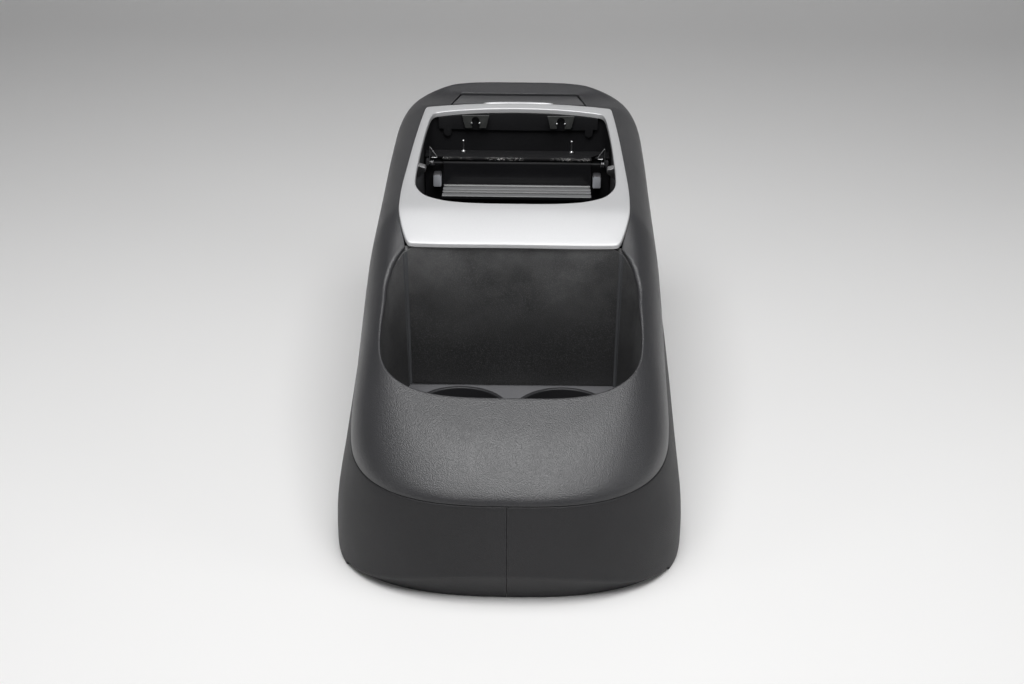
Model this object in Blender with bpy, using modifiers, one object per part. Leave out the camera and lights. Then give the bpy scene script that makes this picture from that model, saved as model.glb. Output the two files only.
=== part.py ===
"""Floor-standing centre console: a moulded upper shell on two side panels.

The shell carries a storage bin with two cup inserts, a painted trim frame round an
open storage well, and a small lid over a pocket at the rear. Metres, +Z up, the nose
towards -Y. Distances called d run back from a datum 10 mm behind the frontmost edge.
"""
import math

import bmesh
import bpy
from mathutils import Vector

# Plan and side view of the whole console
BODY_HALF = 0.1226
FOOT_HALF = 0.1335
NOSE_LIP = 0.010
NOSE_DEPTH = 0.066
BIN_LENGTH = 0.132
FRAME_LENGTH = 0.256
LID_DEPTH = 0.036
REAR_BAND = 0.024
BAND_FLARE = 0.75
BELT_NOSE = 0.006
NOSE_CAP = 0.135
REAR_CAP = 0.080
NOSE_POWER = 2.9
REAR_POWER = 4.0
FOOT_CAP = 0.100
FOOT_POWER = 2.5
TAIL_TAPER = 0.035

# Heights of the belt line, the ramp and the plateau
BELT_FRONT_Z = 0.083
BELT_SLOPE = 0.44
BELT_RISE_START = 0.120
BELT_RISE_LENGTH = 0.232
RIM_FRONT_Z = 0.1315
RAMP_SLOPE = 0.50
PLATEAU_SLOPE = 0.09
KNEE_SETBACK = 0.038
KNEE_SOFTNESS = 0.006
LID_SLOPE = -0.05
REAR_RISE = 0.56
CROWN = 0.003
SHOULDER_SLOPE = 0.10
FOLD_SLOPE = 0.16
FOLD_WIDTH = 0.0145
NOSE_ROUND = 0.055
SIDE_ROUND = 0.034
REAR_ROUND = 0.010
ROUND_POWER = 2.2

# Lower panels
CREASE_Z = 0.025
SIDE_EDGE_Z = 0.004
NOTCH_SHARE = 0.68
TUCK = 0.010
PANEL_PROUD = 0.0006
PANEL_BULGE = 0.0040
PANEL_EDGE = 0.0005
PANEL_STEPS = 5
REAR_SEAM_HALF = 0.080
REAR_SEAM_GAP = 0.0010
GROUND_CLEARANCE = 0.0006

# Walls and clearances
GAP = 0.0003
SHELL_WALL = 0.0026
PANEL_WALL = 0.0026
LINER_WALL = 0.0022
FRAME_WALL = 0.0028
FRAME_PROUD = 0.0008
FRAME_LIP = 0.0045
FRAME_EDGE = 0.0008
FLANGE = 0.0050
SEAT = 0.0006

# Bin and cups
RAIL_WIDTH = 0.0221
RIM_POWER = 3.2
RIM_CAP = 0.069
RIM_TAPER = 0.0007
RIM_JOIN = 0.0065
BIN_FLOOR_Z = 0.0668
BACK_WALL_STEP = 0.0096
BIN_CORNER = 0.0060
TRAY_THICKNESS = 0.0025
CUP_SHARE = 0.306
CUP_BRIDGE = 0.009
CUP_SETBACK = 0.0465
CUP_DEPTH = 0.054
CUP_WALL = 0.0015
CUP_LIP = 0.0022
CUP_TAPER = 0.0020
CUP_CORNER = 0.0020
CUP_BEAD = 0.0014
MAT_THICKNESS = 0.0020

# Trim frame and storage well
FRAME_MARGIN = 0.0272
WELL_FLOOR_Z = 0.052
LIP_CLEARANCE = 0.0006
BULKHEAD_SETBACK = 0.064
BULKHEAD_WALL = 0.0026
DECK_DROP = 0.0238
DECK_DEPTH = 0.015
DECK_WALL = 0.0024
FLAP_OVERLAP = 0.0034
WINDOW_SILL = 0.0040
FLAP_MARGIN = 0.0280
FLAP_WALL = 0.0026
FLAP_DROP = 0.0275
LEDGE_DEPTH = 0.0280
FLAP_COVE = 0.0040
RIB_HEIGHT = 0.0012
SPRING_PITCH = 0.00125
FLAP_PIN_RADIUS = 0.0013
FLAP_BARREL = 0.0032
GUIDE_SIZE = (0.0074, 0.0100, 0.0125)
GUIDE_CLEARANCE = 0.0020
WEB_MARGIN = 0.0209
WEB_HEIGHT = 0.0150
WEB_WALL = 0.0022
TONGUE_INSET = 0.0079
TONGUE_HALF = 0.0035
TONGUE_DROP = 0.0035
TAB_SHARE = 0.42
STUD_SHARE = 0.521
TAB_HALF = 0.0127
TAB_HEIGHT = 0.0124
TAB_SLOT = 0.0036
TAB_WALL = 0.0020

# Rear lid and pocket
LID_MARGIN = 0.0334
LID_TAPER = 0.0068
LID_CORNER = 0.0012
LID_THICKNESS = 0.0045
LID_GAP = 0.0008
LID_SIDE_GAP = 0.0015
LID_AXIS_DEPTH = 0.0054
LID_UNDERLAP = 0.006
LID_PIN_RADIUS = 0.0012
SCOOP_SHARE = 0.532
SCOOP_FLOOR = 0.0022
SCOOP_DEPTH = 0.008
POCKET_DEPTH = 0.043

# Floor plate and brackets
PLATE_THICKNESS = 0.0030
PLATE_CLEARANCE = 0.0015
PLATE_MARGIN = 0.0635
PLATE_WINDOW_CORNER = 0.010
PLATE_RIB = 0.020
BOLT_MARGIN = 0.0215
BOLT_SETBACKS = (0.048, 0.034)
BRACKET_WALL = 0.0015
BRACKET_WIDTH = 0.014
BRACKET_MARGIN = 0.012
BRACKET_FOOT = 0.016
FLOOR_HOLE_RADIUS = 0.0045
SCREW_HEAD_RADIUS = 0.0042
SCREW_HEAD_HEIGHT = 0.0026

# Places that follow from the sizes above
BACK_WALL = NOSE_DEPTH + BIN_LENGTH
KNEE = BACK_WALL + KNEE_SETBACK
FRAME_REAR = BACK_WALL + FRAME_LENGTH
LID_REAR = FRAME_REAR + LID_DEPTH
REAR_END = LID_REAR + REAR_BAND
MIDDLE = 0.5 * (REAR_END - NOSE_LIP)
RIM_HALF = BODY_HALF - RAIL_WIDTH
FRAME_HALF = BODY_HALF - FRAME_MARGIN
BACK_WALL_HALF = FRAME_HALF - BACK_WALL_STEP
BULKHEAD = FRAME_REAR - BULKHEAD_SETBACK
CUP_CENTRE = BACK_WALL + 0.003 - CUP_SETBACK
CUP_RADIUS = CUP_SHARE * BODY_HALF
CUP_SPACING = 2.0 * CUP_RADIUS + CUP_BRIDGE
FLAP_HALF = FRAME_HALF - FLAP_MARGIN
WINDOW_HALF = FLAP_HALF - FLAP_OVERLAP
WEB_HALF = FRAME_HALF - WEB_MARGIN
TONGUE_PLACE = WEB_HALF - TONGUE_INSET
TAB_PLACE = TAB_SHARE * FRAME_HALF
STUD_PLACE = STUD_SHARE * FRAME_HALF
LID_NEAR_HALF = FRAME_HALF - LID_MARGIN
LID_FAR_HALF = LID_NEAR_HALF - LID_TAPER
SCOOP_HALF = SCOOP_SHARE * LID_NEAR_HALF
PLATE_WINDOW_HALF = FOOT_HALF - PLATE_MARGIN
BRACKET_HALF = PLATE_WINDOW_HALF - BRACKET_MARGIN
BOLT_HALF = FOOT_HALF - BOLT_MARGIN
BOLT_PLACES = (BACK_WALL - BOLT_SETBACKS[0], FRAME_REAR - BOLT_SETBACKS[1])


def soft(value, width):
    """Zero for negative values, the value itself for positive ones, bent softly between."""
    return 0.5 * (value + math.hypot(value, width))


def blend(value, low, high):
    """Smooth step from 0 at low to 1 at high."""
    share = min(1.0, max(0.0, (value - low) / (high - low)))
    return share * share * (3.0 - 2.0 * share)


def belt_z(d):
    """Height of the parting line between the shell and the lower panels."""
    rise = soft(d - BELT_RISE_START, 0.02) - soft(d - BELT_RISE_START - BELT_RISE_LENGTH, 0.04)
    return BELT_FRONT_Z + BELT_SLOPE * rise


def ridge_z(d):
    """Height of the top surface on the centre line."""
    z = RIM_FRONT_Z + RAMP_SLOPE * (d - NOSE_DEPTH)
    z -= (RAMP_SLOPE - PLATEAU_SLOPE) * soft(d - KNEE, KNEE_SOFTNESS)
    z -= (PLATEAU_SLOPE - LID_SLOPE) * soft(d - FRAME_REAR, 0.002)
    z += (REAR_RISE - LID_SLOPE) * soft(d - LID_REAR - LID_GAP, 0.001)
    return z


DECK_Z = ridge_z(BULKHEAD) - DECK_DROP
ABOVE_ALL = ridge_z(REAR_END) + POCKET_DEPTH


def lid_half(d):
    """Half width of the lid, and of the rear band behind it."""
    if d < LID_REAR:
        share = (d - FRAME_REAR) / LID_DEPTH
        return LID_NEAR_HALF + (LID_FAR_HALF - LID_NEAR_HALF) * share
    return LID_FAR_HALF + BAND_FLARE * (d - LID_REAR)


def top_z(x, d):
    """Height of the upper surface before its edges are rounded."""
    shoulder = blend(d, FRAME_REAR - 0.012, FRAME_REAR + 0.002)
    z = ridge_z(d) - CROWN * (1.0 - shoulder) * (x / RIM_HALF) ** 2
    z -= SHOULDER_SLOPE * shoulder * max(0.0, abs(x) - lid_half(d))
    reach = min(RIM_HALF - abs(x), 3.0 * (abs(x) - RIM_HALF + 1.35 * FOLD_WIDTH))
    fade = blend(d, BACK_WALL - 0.06, BACK_WALL) * (1.0 - blend(d, BACK_WALL, KNEE))
    z -= FOLD_SLOPE * fade * max(0.0, min(reach, FOLD_WIDTH))
    return z


class Plan:
    """A plan outline: superelliptic nose and tail joined by straight sides."""

    def __init__(self, half, front, front_cap, front_power, rear):
        self.half = half
        self.front_centre = front + front_cap
        self.front_cap = front_cap
        self.front_power = front_power
        self.rear_centre = rear - REAR_CAP

    def half_at(self, d):
        """Half width at a distance back; the body narrows a little past the bin."""
        return self.half * (1.0 - TAIL_TAPER * blend(d, BACK_WALL, KNEE + FRAME_LENGTH / 2.0))

    def point(self, t):
        """Outline point: t is 0 at the nose, 1 and 2 at the ends of the side, 3 at the tail."""
        if t <= 1.0:
            angle = 0.5 * math.pi * t
            share = math.sin(angle) ** (2.0 / self.front_power)
            along = max(0.0, math.cos(angle)) ** (2.0 / self.front_power)
            d = self.front_centre - self.front_cap * along
        elif t >= 2.0:
            angle = 0.5 * math.pi * (t - 2.0)
            share = max(0.0, math.cos(angle)) ** (2.0 / REAR_POWER)
            d = self.rear_centre + REAR_CAP * math.sin(angle) ** (2.0 / REAR_POWER)
        else:
            share = 1.0
            d = self.front_centre + (t - 1.0) * (self.rear_centre - self.front_centre)
        return self.half_at(d) * share, d

    def inner(self, t, level):
        """The outline point drawn in towards the cap centres; level 1 is the outline."""
        x, d = self.point(t)
        centre = min(max(d, self.front_centre), self.rear_centre)
        return level * x, centre + level * (d - centre)

    def level(self, x, d):
        """Level of a point in plan, and how far it lies in an end cap (0 to 1)."""
        centre = min(max(d, self.front_centre), self.rear_centre)
        cap = self.front_cap if d < centre else REAR_CAP
        power = self.front_power if d < centre else REAR_POWER
        side = (abs(x) / self.half_at(d)) ** power
        end = (abs(d - centre) / cap) ** power
        total = side + end
        if total == 0.0:
            return 0.0, 0.0
        return total ** (1.0 / power), end / total


BELT_PLAN = Plan(BODY_HALF, -BELT_NOSE, NOSE_CAP, NOSE_POWER, REAR_END)
EDGE_PLAN = Plan(BODY_HALF + PANEL_PROUD, -BELT_NOSE - PANEL_PROUD, NOSE_CAP, NOSE_POWER, REAR_END)
CREASE_PLAN = Plan(FOOT_HALF, -NOSE_LIP, FOOT_CAP, FOOT_POWER, REAR_END)
TUCK_PLAN = Plan(FOOT_HALF - PANEL_EDGE, TUCK - NOSE_LIP, FOOT_CAP - TUCK, FOOT_POWER, REAR_END)


def shell_z(x, d):
    """Height of the shell's outer surface at a plan position."""
    level, end = BELT_PLAN.level(x, d)
    front = d < 0.5 * (BELT_PLAN.front_centre + BELT_PLAN.rear_centre)
    cap = NOSE_CAP if front else REAR_CAP
    cap_round = NOSE_ROUND if front else REAR_ROUND
    inset = (1.0 - level) * (BODY_HALF + (cap - BODY_HALF) * end)
    share = min(1.0, max(0.0, inset / (SIDE_ROUND + (cap_round - SIDE_ROUND) * math.sqrt(end))))
    lift = max(0.0, 1.0 - (1.0 - share) ** ROUND_POWER) ** (1.0 / ROUND_POWER)
    centre = min(max(d, BELT_PLAN.front_centre), BELT_PLAN.rear_centre)
    foot = belt_z(centre + (d - centre) / max(level, 0.2))
    return foot + (top_z(x, d) - foot) * lift


def shell_under(x, d):
    """Height of the shell's underside, allowing for the slope of the wall."""
    step = 0.001
    slope_x = (shell_z(x + step, d) - shell_z(x - step, d)) / (2.0 * step)
    slope_d = (shell_z(x, d + step) - shell_z(x, d - step)) / (2.0 * step)
    return shell_z(x, d) - SHELL_WALL * math.sqrt(1.0 + slope_x ** 2 + slope_d ** 2)


def frame_z(x, d):
    """Height of the painted face of the trim frame."""
    return ridge_z(min(d, FRAME_REAR)) - CROWN * (x / RIM_HALF) ** 2 + FRAME_PROUD


def frame_under(x, d):
    """Height of the frame's underside; the wall is measured square to the ramp."""
    slope = RAMP_SLOPE if d < KNEE + KNEE_SOFTNESS else PLATEAU_SLOPE
    return frame_z(x, d) - FRAME_WALL * math.sqrt(1.0 + slope ** 2)


def world(x, d, z):
    """World position of a point given by its distance back from the datum."""
    return (x, d - MIDDLE, z)


def smooth_path(points, steps):
    """A curve through the points, with the given number of steps between each two."""
    spots = [Vector(point) for point in points]
    chords = [(second - first).length for first, second in zip(spots, spots[1:])]
    tangents = [(spots[1] - spots[0]) / chords[0]]
    for i in range(1, len(spots) - 1):
        tangents.append((spots[i + 1] - spots[i - 1]) / (chords[i - 1] + chords[i]))
    tangents.append((spots[-1] - spots[-2]) / chords[-1])
    path = []
    for i, chord in enumerate(chords):
        for k in range(steps):
            s = k / steps
            spot = (2.0 * s ** 3 - 3.0 * s ** 2 + 1.0) * spots[i]
            spot += (s ** 3 - 2.0 * s ** 2 + s) * chord * tangents[i]
            spot += (3.0 * s ** 2 - 2.0 * s ** 3) * spots[i + 1]
            spot += (s ** 3 - s ** 2) * chord * tangents[i + 1]
            path.append((max(0.0, spot.x), spot.y))
    path.append(points[-1])
    return path


def both_sides(half):
    """A closed outline from a half that starts and ends on the centre line."""
    left = [(-x, d) for x, d in half[-2:0:-1]]
    return list(half) + left


def offset_outline(outline, distance):
    """The closed outline moved outwards by a distance, corner by corner."""
    moved = []
    count = len(outline)
    for i, here in enumerate(outline):
        back = Vector(here) - Vector(outline[i - 1])
        ahead = Vector(outline[(i + 1) % count]) - Vector(here)
        back.normalize()
        ahead.normalize()
        normal = Vector((back.y + ahead.y, -back.x - ahead.x))
        normal.normalize()
        lean = max(0.5, normal.dot(Vector((ahead.y, -ahead.x))))
        moved.append((here[0] + normal.x * distance / lean, here[1] + normal.y * distance / lean))
    return moved


def half_at(half, d):
    """Half width of a half outline at a distance d along its side."""
    width = 0.0
    for first, second in zip(half, half[1:]):
        low, high = sorted((first[1], second[1]))
        if low <= d <= high and high > low:
            share = (d - first[1]) / (second[1] - first[1])
            width = max(width, first[0] + share * (second[0] - first[0]))
    return width


def rear_at(half, x):
    """Distance back of the far side of a half outline at a half width."""
    best = 0.0
    for first, second in zip(half, half[1:]):
        if second[0] <= abs(x) <= first[0] and first[1] > KNEE:
            share = (abs(x) - second[0]) / max(1e-9, first[0] - second[0])
            best = second[1] + share * (first[1] - second[1])
    return best


# Half outlines of the frame: shares of its half width and of its length
FRAME_OUTER_SHARES = (
    (0.0, 0.0), (0.47, 0.002), (0.84, 0.0095), (0.888, 0.016), (0.933, 0.054),
    (0.975, 0.112), (0.992, 0.156), (1.0, 0.292), (0.9885, 0.454), (0.962, 0.721),
    (0.922, 0.958), (0.908, 0.9745), (0.88, 0.979), (0.47, 0.9945), (0.0, 1.0),
)
FRAME_INNER_SHARES = (
    (0.0, 0.165), (0.32, 0.169), (0.55, 0.183), (0.685, 0.205), (0.780, 0.232),
    (0.850, 0.277), (0.883, 0.322), (0.894, 0.398), (0.893, 0.490), (0.883, 0.672),
    (0.862, 0.830), (0.839, 0.898), (0.795, 0.921), (0.42, 0.949), (0.0, 0.961),
)
OUTLINE_STEPS = 2
FRAME_FACE_SHARES = (0.0, 0.35, 0.70, 0.88, 1.0)


def frame_half(shares):
    """A frame outline at its real size."""
    points = [(FRAME_HALF * a, BACK_WALL + FRAME_LENGTH * b) for a, b in shares]
    return smooth_path(points, OUTLINE_STEPS)


FRAME_OUTER = frame_half(FRAME_OUTER_SHARES)
FRAME_INNER = frame_half(FRAME_INNER_SHARES)


def superellipse(half, centre, cap, power, count):
    """Quarter outline from the front centre to the side."""
    points = []
    for i in range(count + 1):
        angle = 0.5 * math.pi * i / count
        x = half * math.sin(angle) ** (2.0 / power)
        d = centre - cap * max(0.0, math.cos(angle)) ** (2.0 / power)
        points.append((x, d))
    return points


def rim_half_outline(inset):
    """Bin opening: rounded nose, straight sides and a diagonal to the frame's corner."""
    nose = superellipse(RIM_HALF - inset, NOSE_DEPTH + RIM_CAP, RIM_CAP - inset, RIM_POWER, 14)
    side = [(RIM_HALF - RIM_TAPER - inset, BACK_WALL - 0.045)]
    side.append((RIM_HALF - RIM_TAPER - inset, BACK_WALL - 0.028))
    side.append((RIM_HALF - 0.0055 - inset, BACK_WALL - 0.012))
    side.append((BACK_WALL_HALF + 0.0008 - inset, BACK_WALL + 0.0032))
    return nose + side


def floor_half_outline(inset):
    """Bin floor: as the opening, with the sides drawn in towards the back wall."""
    nose = superellipse(RIM_HALF - 0.004 - inset, NOSE_DEPTH + 0.074, 0.066 - inset, RIM_POWER, 14)
    side = [(RIM_HALF - 0.0062 - inset, BACK_WALL - 0.042)]
    side.append((RIM_HALF - 0.0082 - inset, BACK_WALL - 0.026))
    side.append((RIM_HALF - 0.0110 - inset, BACK_WALL - 0.010))
    side.append((BACK_WALL_HALF - inset, BACK_WALL + 0.0040 - inset))
    return nose + side


def material(name, colour, roughness, metallic=0.0):
    """A plain Principled BSDF material."""
    made = bpy.data.materials.new(name)
    made.use_nodes = True
    shader = made.node_tree.nodes["Principled BSDF"]
    shader.inputs["Base Color"].default_value = (*colour, 1.0)
    shader.inputs["Roughness"].default_value = roughness
    shader.inputs["Metallic"].default_value = metallic
    return made


def clear_scene():
    """Remove every object that the opened file holds."""
    for old in list(bpy.data.objects):
        bpy.data.objects.remove(old, do_unlink=True)


def add_object(name, data, look, location=(0.0, 0.0, 0.0), rotation=(0.0, 0.0, 0.0)):
    """Put a mesh or curve in the console's collection with its material."""
    made = bpy.data.objects.new(name, data)
    made.location = location
    made.rotation_euler = rotation
    if look is not None:
        data.materials.append(look)
        PARTS.objects.link(made)
    else:
        made.hide_render = True
        made.display_type = "WIRE"
        CUTTERS.objects.link(made)
    return made


def mesh_from_loops(name, loops, ring=False):
    """A closed mesh through equal loops, capped at both ends or closed as a ring."""
    shape = bmesh.new()
    rows = [[shape.verts.new(point) for point in loop] for loop in loops]
    count = len(rows[0])
    pairs = list(zip(rows, rows[1:]))
    if ring:
        pairs.append((rows[-1], rows[0]))
    else:
        shape.faces.new(rows[0])
        shape.faces.new(list(reversed(rows[-1])))
    for low, high in pairs:
        for i in range(count):
            j = (i + 1) % count
            shape.faces.new((low[j], low[i], high[i], high[j]))
    bmesh.ops.recalc_face_normals(shape, faces=shape.faces)
    data = bpy.data.meshes.new(name)
    shape.to_mesh(data)
    shape.free()
    return data


def loft(name, loops, look, ring=False, smooth=True):
    """An object lofted through loops."""
    made = add_object(name, mesh_from_loops(name, loops, ring), look)
    if smooth:
        made.data.shade_smooth()
        made.data.set_sharp_from_angle(angle=math.radians(35.0))
    return made


def flat_curve(name, outlines, half_thickness):
    """Curve data of a flat plate with holes; the first outline is its edge."""
    data = bpy.data.curves.new(name, "CURVE")
    data.dimensions = "2D"
    data.fill_mode = "BOTH"
    data.extrude = half_thickness
    for outline in outlines:
        spline = data.splines.new("POLY")
        spline.points.add(len(outline) - 1)
        for point, (u, v) in zip(spline.points, outline):
            point.co = (u, v, 0.0, 1.0)
        spline.use_cyclic_u = True
    return data


def plate_x(name, outlines, x, width, look, pivot=(0.0, 0.0)):
    """A plate whose outline lies in the side view, given as (d, z), and which spans along X."""
    local = [[(d - pivot[0], z - pivot[1]) for d, z in outline] for outline in outlines]
    turn = (0.5 * math.pi, 0.0, 0.5 * math.pi)
    return add_object(name, flat_curve(name, local, 0.5 * width), look, world(x, *pivot), turn)


def plate_y(name, outlines, d, depth, look):
    """A plate whose outline lies in the front view, given as (x, z), and which spans along Y."""
    turn = (0.5 * math.pi, 0.0, 0.0)
    return add_object(name, flat_curve(name, outlines, 0.5 * depth), look, world(0.0, d, 0.0), turn)


def plate_z(name, outlines, z, height, look):
    """A flat plate whose outline lies in plan, given as (x, d)."""
    return add_object(name, flat_curve(name, outlines, 0.5 * height), look, world(0.0, 0.0, z))


def as_mesh(made):
    """Turn a curve object into a welded mesh object of the same name."""
    bpy.context.view_layer.update()
    graph = bpy.context.evaluated_depsgraph_get()
    data = bpy.data.meshes.new_from_object(made.evaluated_get(graph))
    shape = bmesh.new()
    shape.from_mesh(data)
    bmesh.ops.remove_doubles(shape, verts=shape.verts, dist=0.00001)
    shape.to_mesh(data)
    shape.free()
    name = made.name
    matrix = made.matrix_world.copy()
    homes = list(made.users_collection)
    hidden = made.hide_render
    bpy.data.objects.remove(made, do_unlink=True)
    solid = bpy.data.objects.new(name, data)
    solid.matrix_world = matrix
    for home in homes:
        home.objects.link(solid)
    if hidden:
        solid.hide_render = True
        solid.display_type = "WIRE"
    return solid


def cut(target, cutter, operation="DIFFERENCE"):
    """Boolean the target with a cutter object."""
    step = target.modifiers.new("cut " + cutter.name, "BOOLEAN")
    step.object = cutter
    step.operation = operation
    step.solver = "EXACT"


def arc(centre, radius, start, stop, count):
    """Points of an arc in degrees, both ends included."""
    points = []
    for i in range(count + 1):
        angle = math.radians(start + (stop - start) * i / count)
        points.append((centre[0] + radius * math.cos(angle), centre[1] + radius * math.sin(angle)))
    return points


def circle(centre, radius, count=20):
    """A closed circle of points."""
    return arc(centre, radius, 0.0, 360.0, count)[:-1]


def rounded_box(low, high, radius, count=3):
    """A rectangle with rounded corners."""
    corners = (
        ((high[0] - radius, high[1] - radius), 0.0),
        ((low[0] + radius, high[1] - radius), 90.0),
        ((low[0] + radius, low[1] + radius), 180.0),
        ((high[0] - radius, low[1] + radius), 270.0),
    )
    points = []
    for centre, start in corners:
        points += arc(centre, radius, start, start + 90.0, count)
    return points


def turned(name, profile, look, location, steps=32):
    """A turned solid from an (r, z) profile that runs down its outer side."""
    shape = bmesh.new()
    verts = [shape.verts.new((r, 0.0, z)) for r, z in profile]
    for first, second in zip(verts, verts[1:]):
        shape.edges.new((first, second))
    if profile[0][0] > 0.0:
        shape.edges.new((verts[-1], verts[0]))
    data = bpy.data.meshes.new(name)
    shape.to_mesh(data)
    shape.free()
    made = add_object(name, data, look, location)
    screw = made.modifiers.new("turn", "SCREW")
    screw.steps = steps
    screw.render_steps = steps
    screw.use_merge_vertices = True
    screw.merge_threshold = 0.00001
    screw.use_smooth_shade = True
    return made


def rod(name, radius, start, end, look, sides=12):
    """A round rod between two points given as (x, d, z)."""
    data = bpy.data.curves.new(name, "CURVE")
    data.dimensions = "3D"
    data.bevel_depth = radius
    data.bevel_resolution = max(1, sides // 4 - 1)
    data.use_fill_caps = True
    spline = data.splines.new("POLY")
    spline.points.add(1)
    centre = Vector(world(*start)).lerp(Vector(world(*end)), 0.5)
    for point, spot in zip(spline.points, (start, end)):
        point.co = (*(Vector(world(*spot)) - centre), 1.0)
    return add_object(name, data, look, centre)


def wire(name, radius, points, look):
    """A bent wire along points given as (x, d, z)."""
    data = bpy.data.curves.new(name, "CURVE")
    data.dimensions = "3D"
    data.bevel_depth = radius
    data.bevel_resolution = 1
    data.use_fill_caps = True
    spline = data.splines.new("POLY")
    spline.points.add(len(points) - 1)
    for point, spot in zip(spline.points, points):
        point.co = (*world(*spot), 1.0)
    return add_object(name, data, look)


def loop_at(outline, height):
    """A loop of world points over a plan outline; height is a value or a function of (x, d)."""
    if callable(height):
        return [world(x, d, height(x, d)) for x, d in outline]
    return [world(x, d, height) for x, d in outline]


def build_upper_shell(looks):
    """Lofted half shell, mirrored, thickened, then opened for the bin, frame and lid."""
    stations = [i / 14.0 for i in range(14)] + [1.0 + i / 10.0 for i in range(10)]
    stations += [2.0 + i / 14.0 for i in range(15)]
    shares = (0.0, 0.012, 0.05, 0.12, 0.22, 0.34, 0.46, 0.58, 0.70, 0.84, 1.0)
    shape = bmesh.new()
    grid = []
    for t in stations:
        x, d = BELT_PLAN.point(t)
        end = BELT_PLAN.level(x, d)[1]
        cap, corner = (NOSE_CAP, NOSE_ROUND) if t < 1.5 else (REAR_CAP, REAR_ROUND)
        reach = BODY_HALF + (cap - BODY_HALF) * end
        corner = SIDE_ROUND + (corner - SIDE_ROUND) * math.sqrt(end)
        levels = [1.0 - share * corner / reach for share in shares] + [0.50, 0.36]
        row = []
        for k, level in enumerate(levels):
            px, pd = BELT_PLAN.inner(t, level)
            z = belt_z(pd) + GAP if k == 0 else shell_z(px, pd)
            row.append(shape.verts.new(world(px, pd, z)))
        row.append(shape.verts.new(world(0.0, pd, shell_z(0.0, pd))))
        grid.append(row)
    for first, second in zip(grid, grid[1:]):
        for i in range(len(first) - 1):
            shape.faces.new((first[i], second[i], second[i + 1], first[i + 1]))
    bmesh.ops.remove_doubles(shape, verts=shape.verts, dist=0.00001)
    data = bpy.data.meshes.new("upper_shell")
    shape.to_mesh(data)
    shape.free()
    shell = add_object("upper_shell", data, looks["grained"])
    mirror = shell.modifiers.new("both sides", "MIRROR")
    mirror.merge_threshold = 0.00005
    thick = shell.modifiers.new("wall", "SOLIDIFY")
    thick.thickness = SHELL_WALL
    thick.offset = -1.0
    thick.use_even_offset = True
    data.shade_smooth()
    outer = offset_outline(both_sides(FRAME_OUTER), GAP)
    half_outer = outer[:len(FRAME_OUTER)]
    start = next(i for i, point in enumerate(half_outer) if point[1] > BACK_WALL + RIM_JOIN)
    opening = both_sides(rim_half_outline(0.0) + half_outer[start:])
    cut(shell, prism_cutter("main opening", opening, BELT_FRONT_Z, ABOVE_ALL))
    near = FRAME_REAR - LID_UNDERLAP
    far = LID_REAR + LID_GAP
    lid_side = [(lid_half(near) + LID_SIDE_GAP, near)]
    lid_side.append((lid_half(LID_REAR - LID_CORNER) + LID_SIDE_GAP, far - LID_CORNER))
    lid_side.append((lid_half(LID_REAR) + LID_SIDE_GAP - LID_CORNER, far))
    lid_hole = both_sides([(0.0, near)] + lid_side + [(0.0, far)])
    cut(shell, prism_cutter("lid opening", lid_hole, BELT_FRONT_Z, ABOVE_ALL))
    return shell


def prism_cutter(name, outline, low, high):
    """An upright cutter over a plan outline."""
    return loft(name, [loop_at(outline, low), loop_at(outline, high)], None, smooth=False)


def panel_rows(t):
    """Outer section of a lower panel at a station, from the belt to the ground."""
    bx, bd = EDGE_PLAN.point(t)
    cx, cd = CREASE_PLAN.point(t)
    tx, td = TUCK_PLAN.point(t)
    front = 1.0 - blend(t, 0.0, NOTCH_SHARE)
    crease = SIDE_EDGE_Z + (CREASE_Z - SIDE_EDGE_Z) * front
    past = blend(t, NOTCH_SHARE, NOTCH_SHARE + 0.03)
    tx += past * (cx - PANEL_EDGE - tx)
    td += past * (cd - td)
    rows = []
    top = belt_z(bd) - GAP
    for k in range(PANEL_STEPS + 1):
        share = k / PANEL_STEPS
        stretch = 1.0 + PANEL_BULGE * math.sin(math.pi * share) / BODY_HALF
        x = (bx + (cx - bx) * share) * stretch
        d = bd + (cd - bd) * share
        rows.append((x, d, top + (crease - top) * share))
    rows.append((tx, td, GROUND_CLEARANCE))
    return rows


def build_lower_panel(name, stations, side, look):
    """A thin moulded panel over a run of stations, on one side or across the tail."""
    shape = bmesh.new()
    grid = []
    for t, sign in stations:
        row = []
        for x, d, z in panel_rows(t):
            x = max(x, 0.5 * GAP) if side else x
            row.append(shape.verts.new(world(sign * x, d, z)))
        grid.append(row)
    for first, second in zip(grid, grid[1:]):
        for i in range(len(first) - 1):
            shape.faces.new((first[i], first[i + 1], second[i + 1], second[i]))
    if stations[0][1] < 0:
        bmesh.ops.reverse_faces(shape, faces=shape.faces)
    data = bpy.data.meshes.new(name)
    shape.to_mesh(data)
    shape.free()
    panel = add_object(name, data, look)
    thick = panel.modifiers.new("wall", "SOLIDIFY")
    thick.thickness = PANEL_WALL
    thick.offset = -1.0
    data.shade_smooth()
    return panel


def seam_station(half):
    """Station on the tail where the belt outline has the given half width."""
    share = half / EDGE_PLAN.half_at(REAR_END)
    return 2.0 + math.acos(share ** (REAR_POWER / 2.0)) / (0.5 * math.pi)


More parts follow.
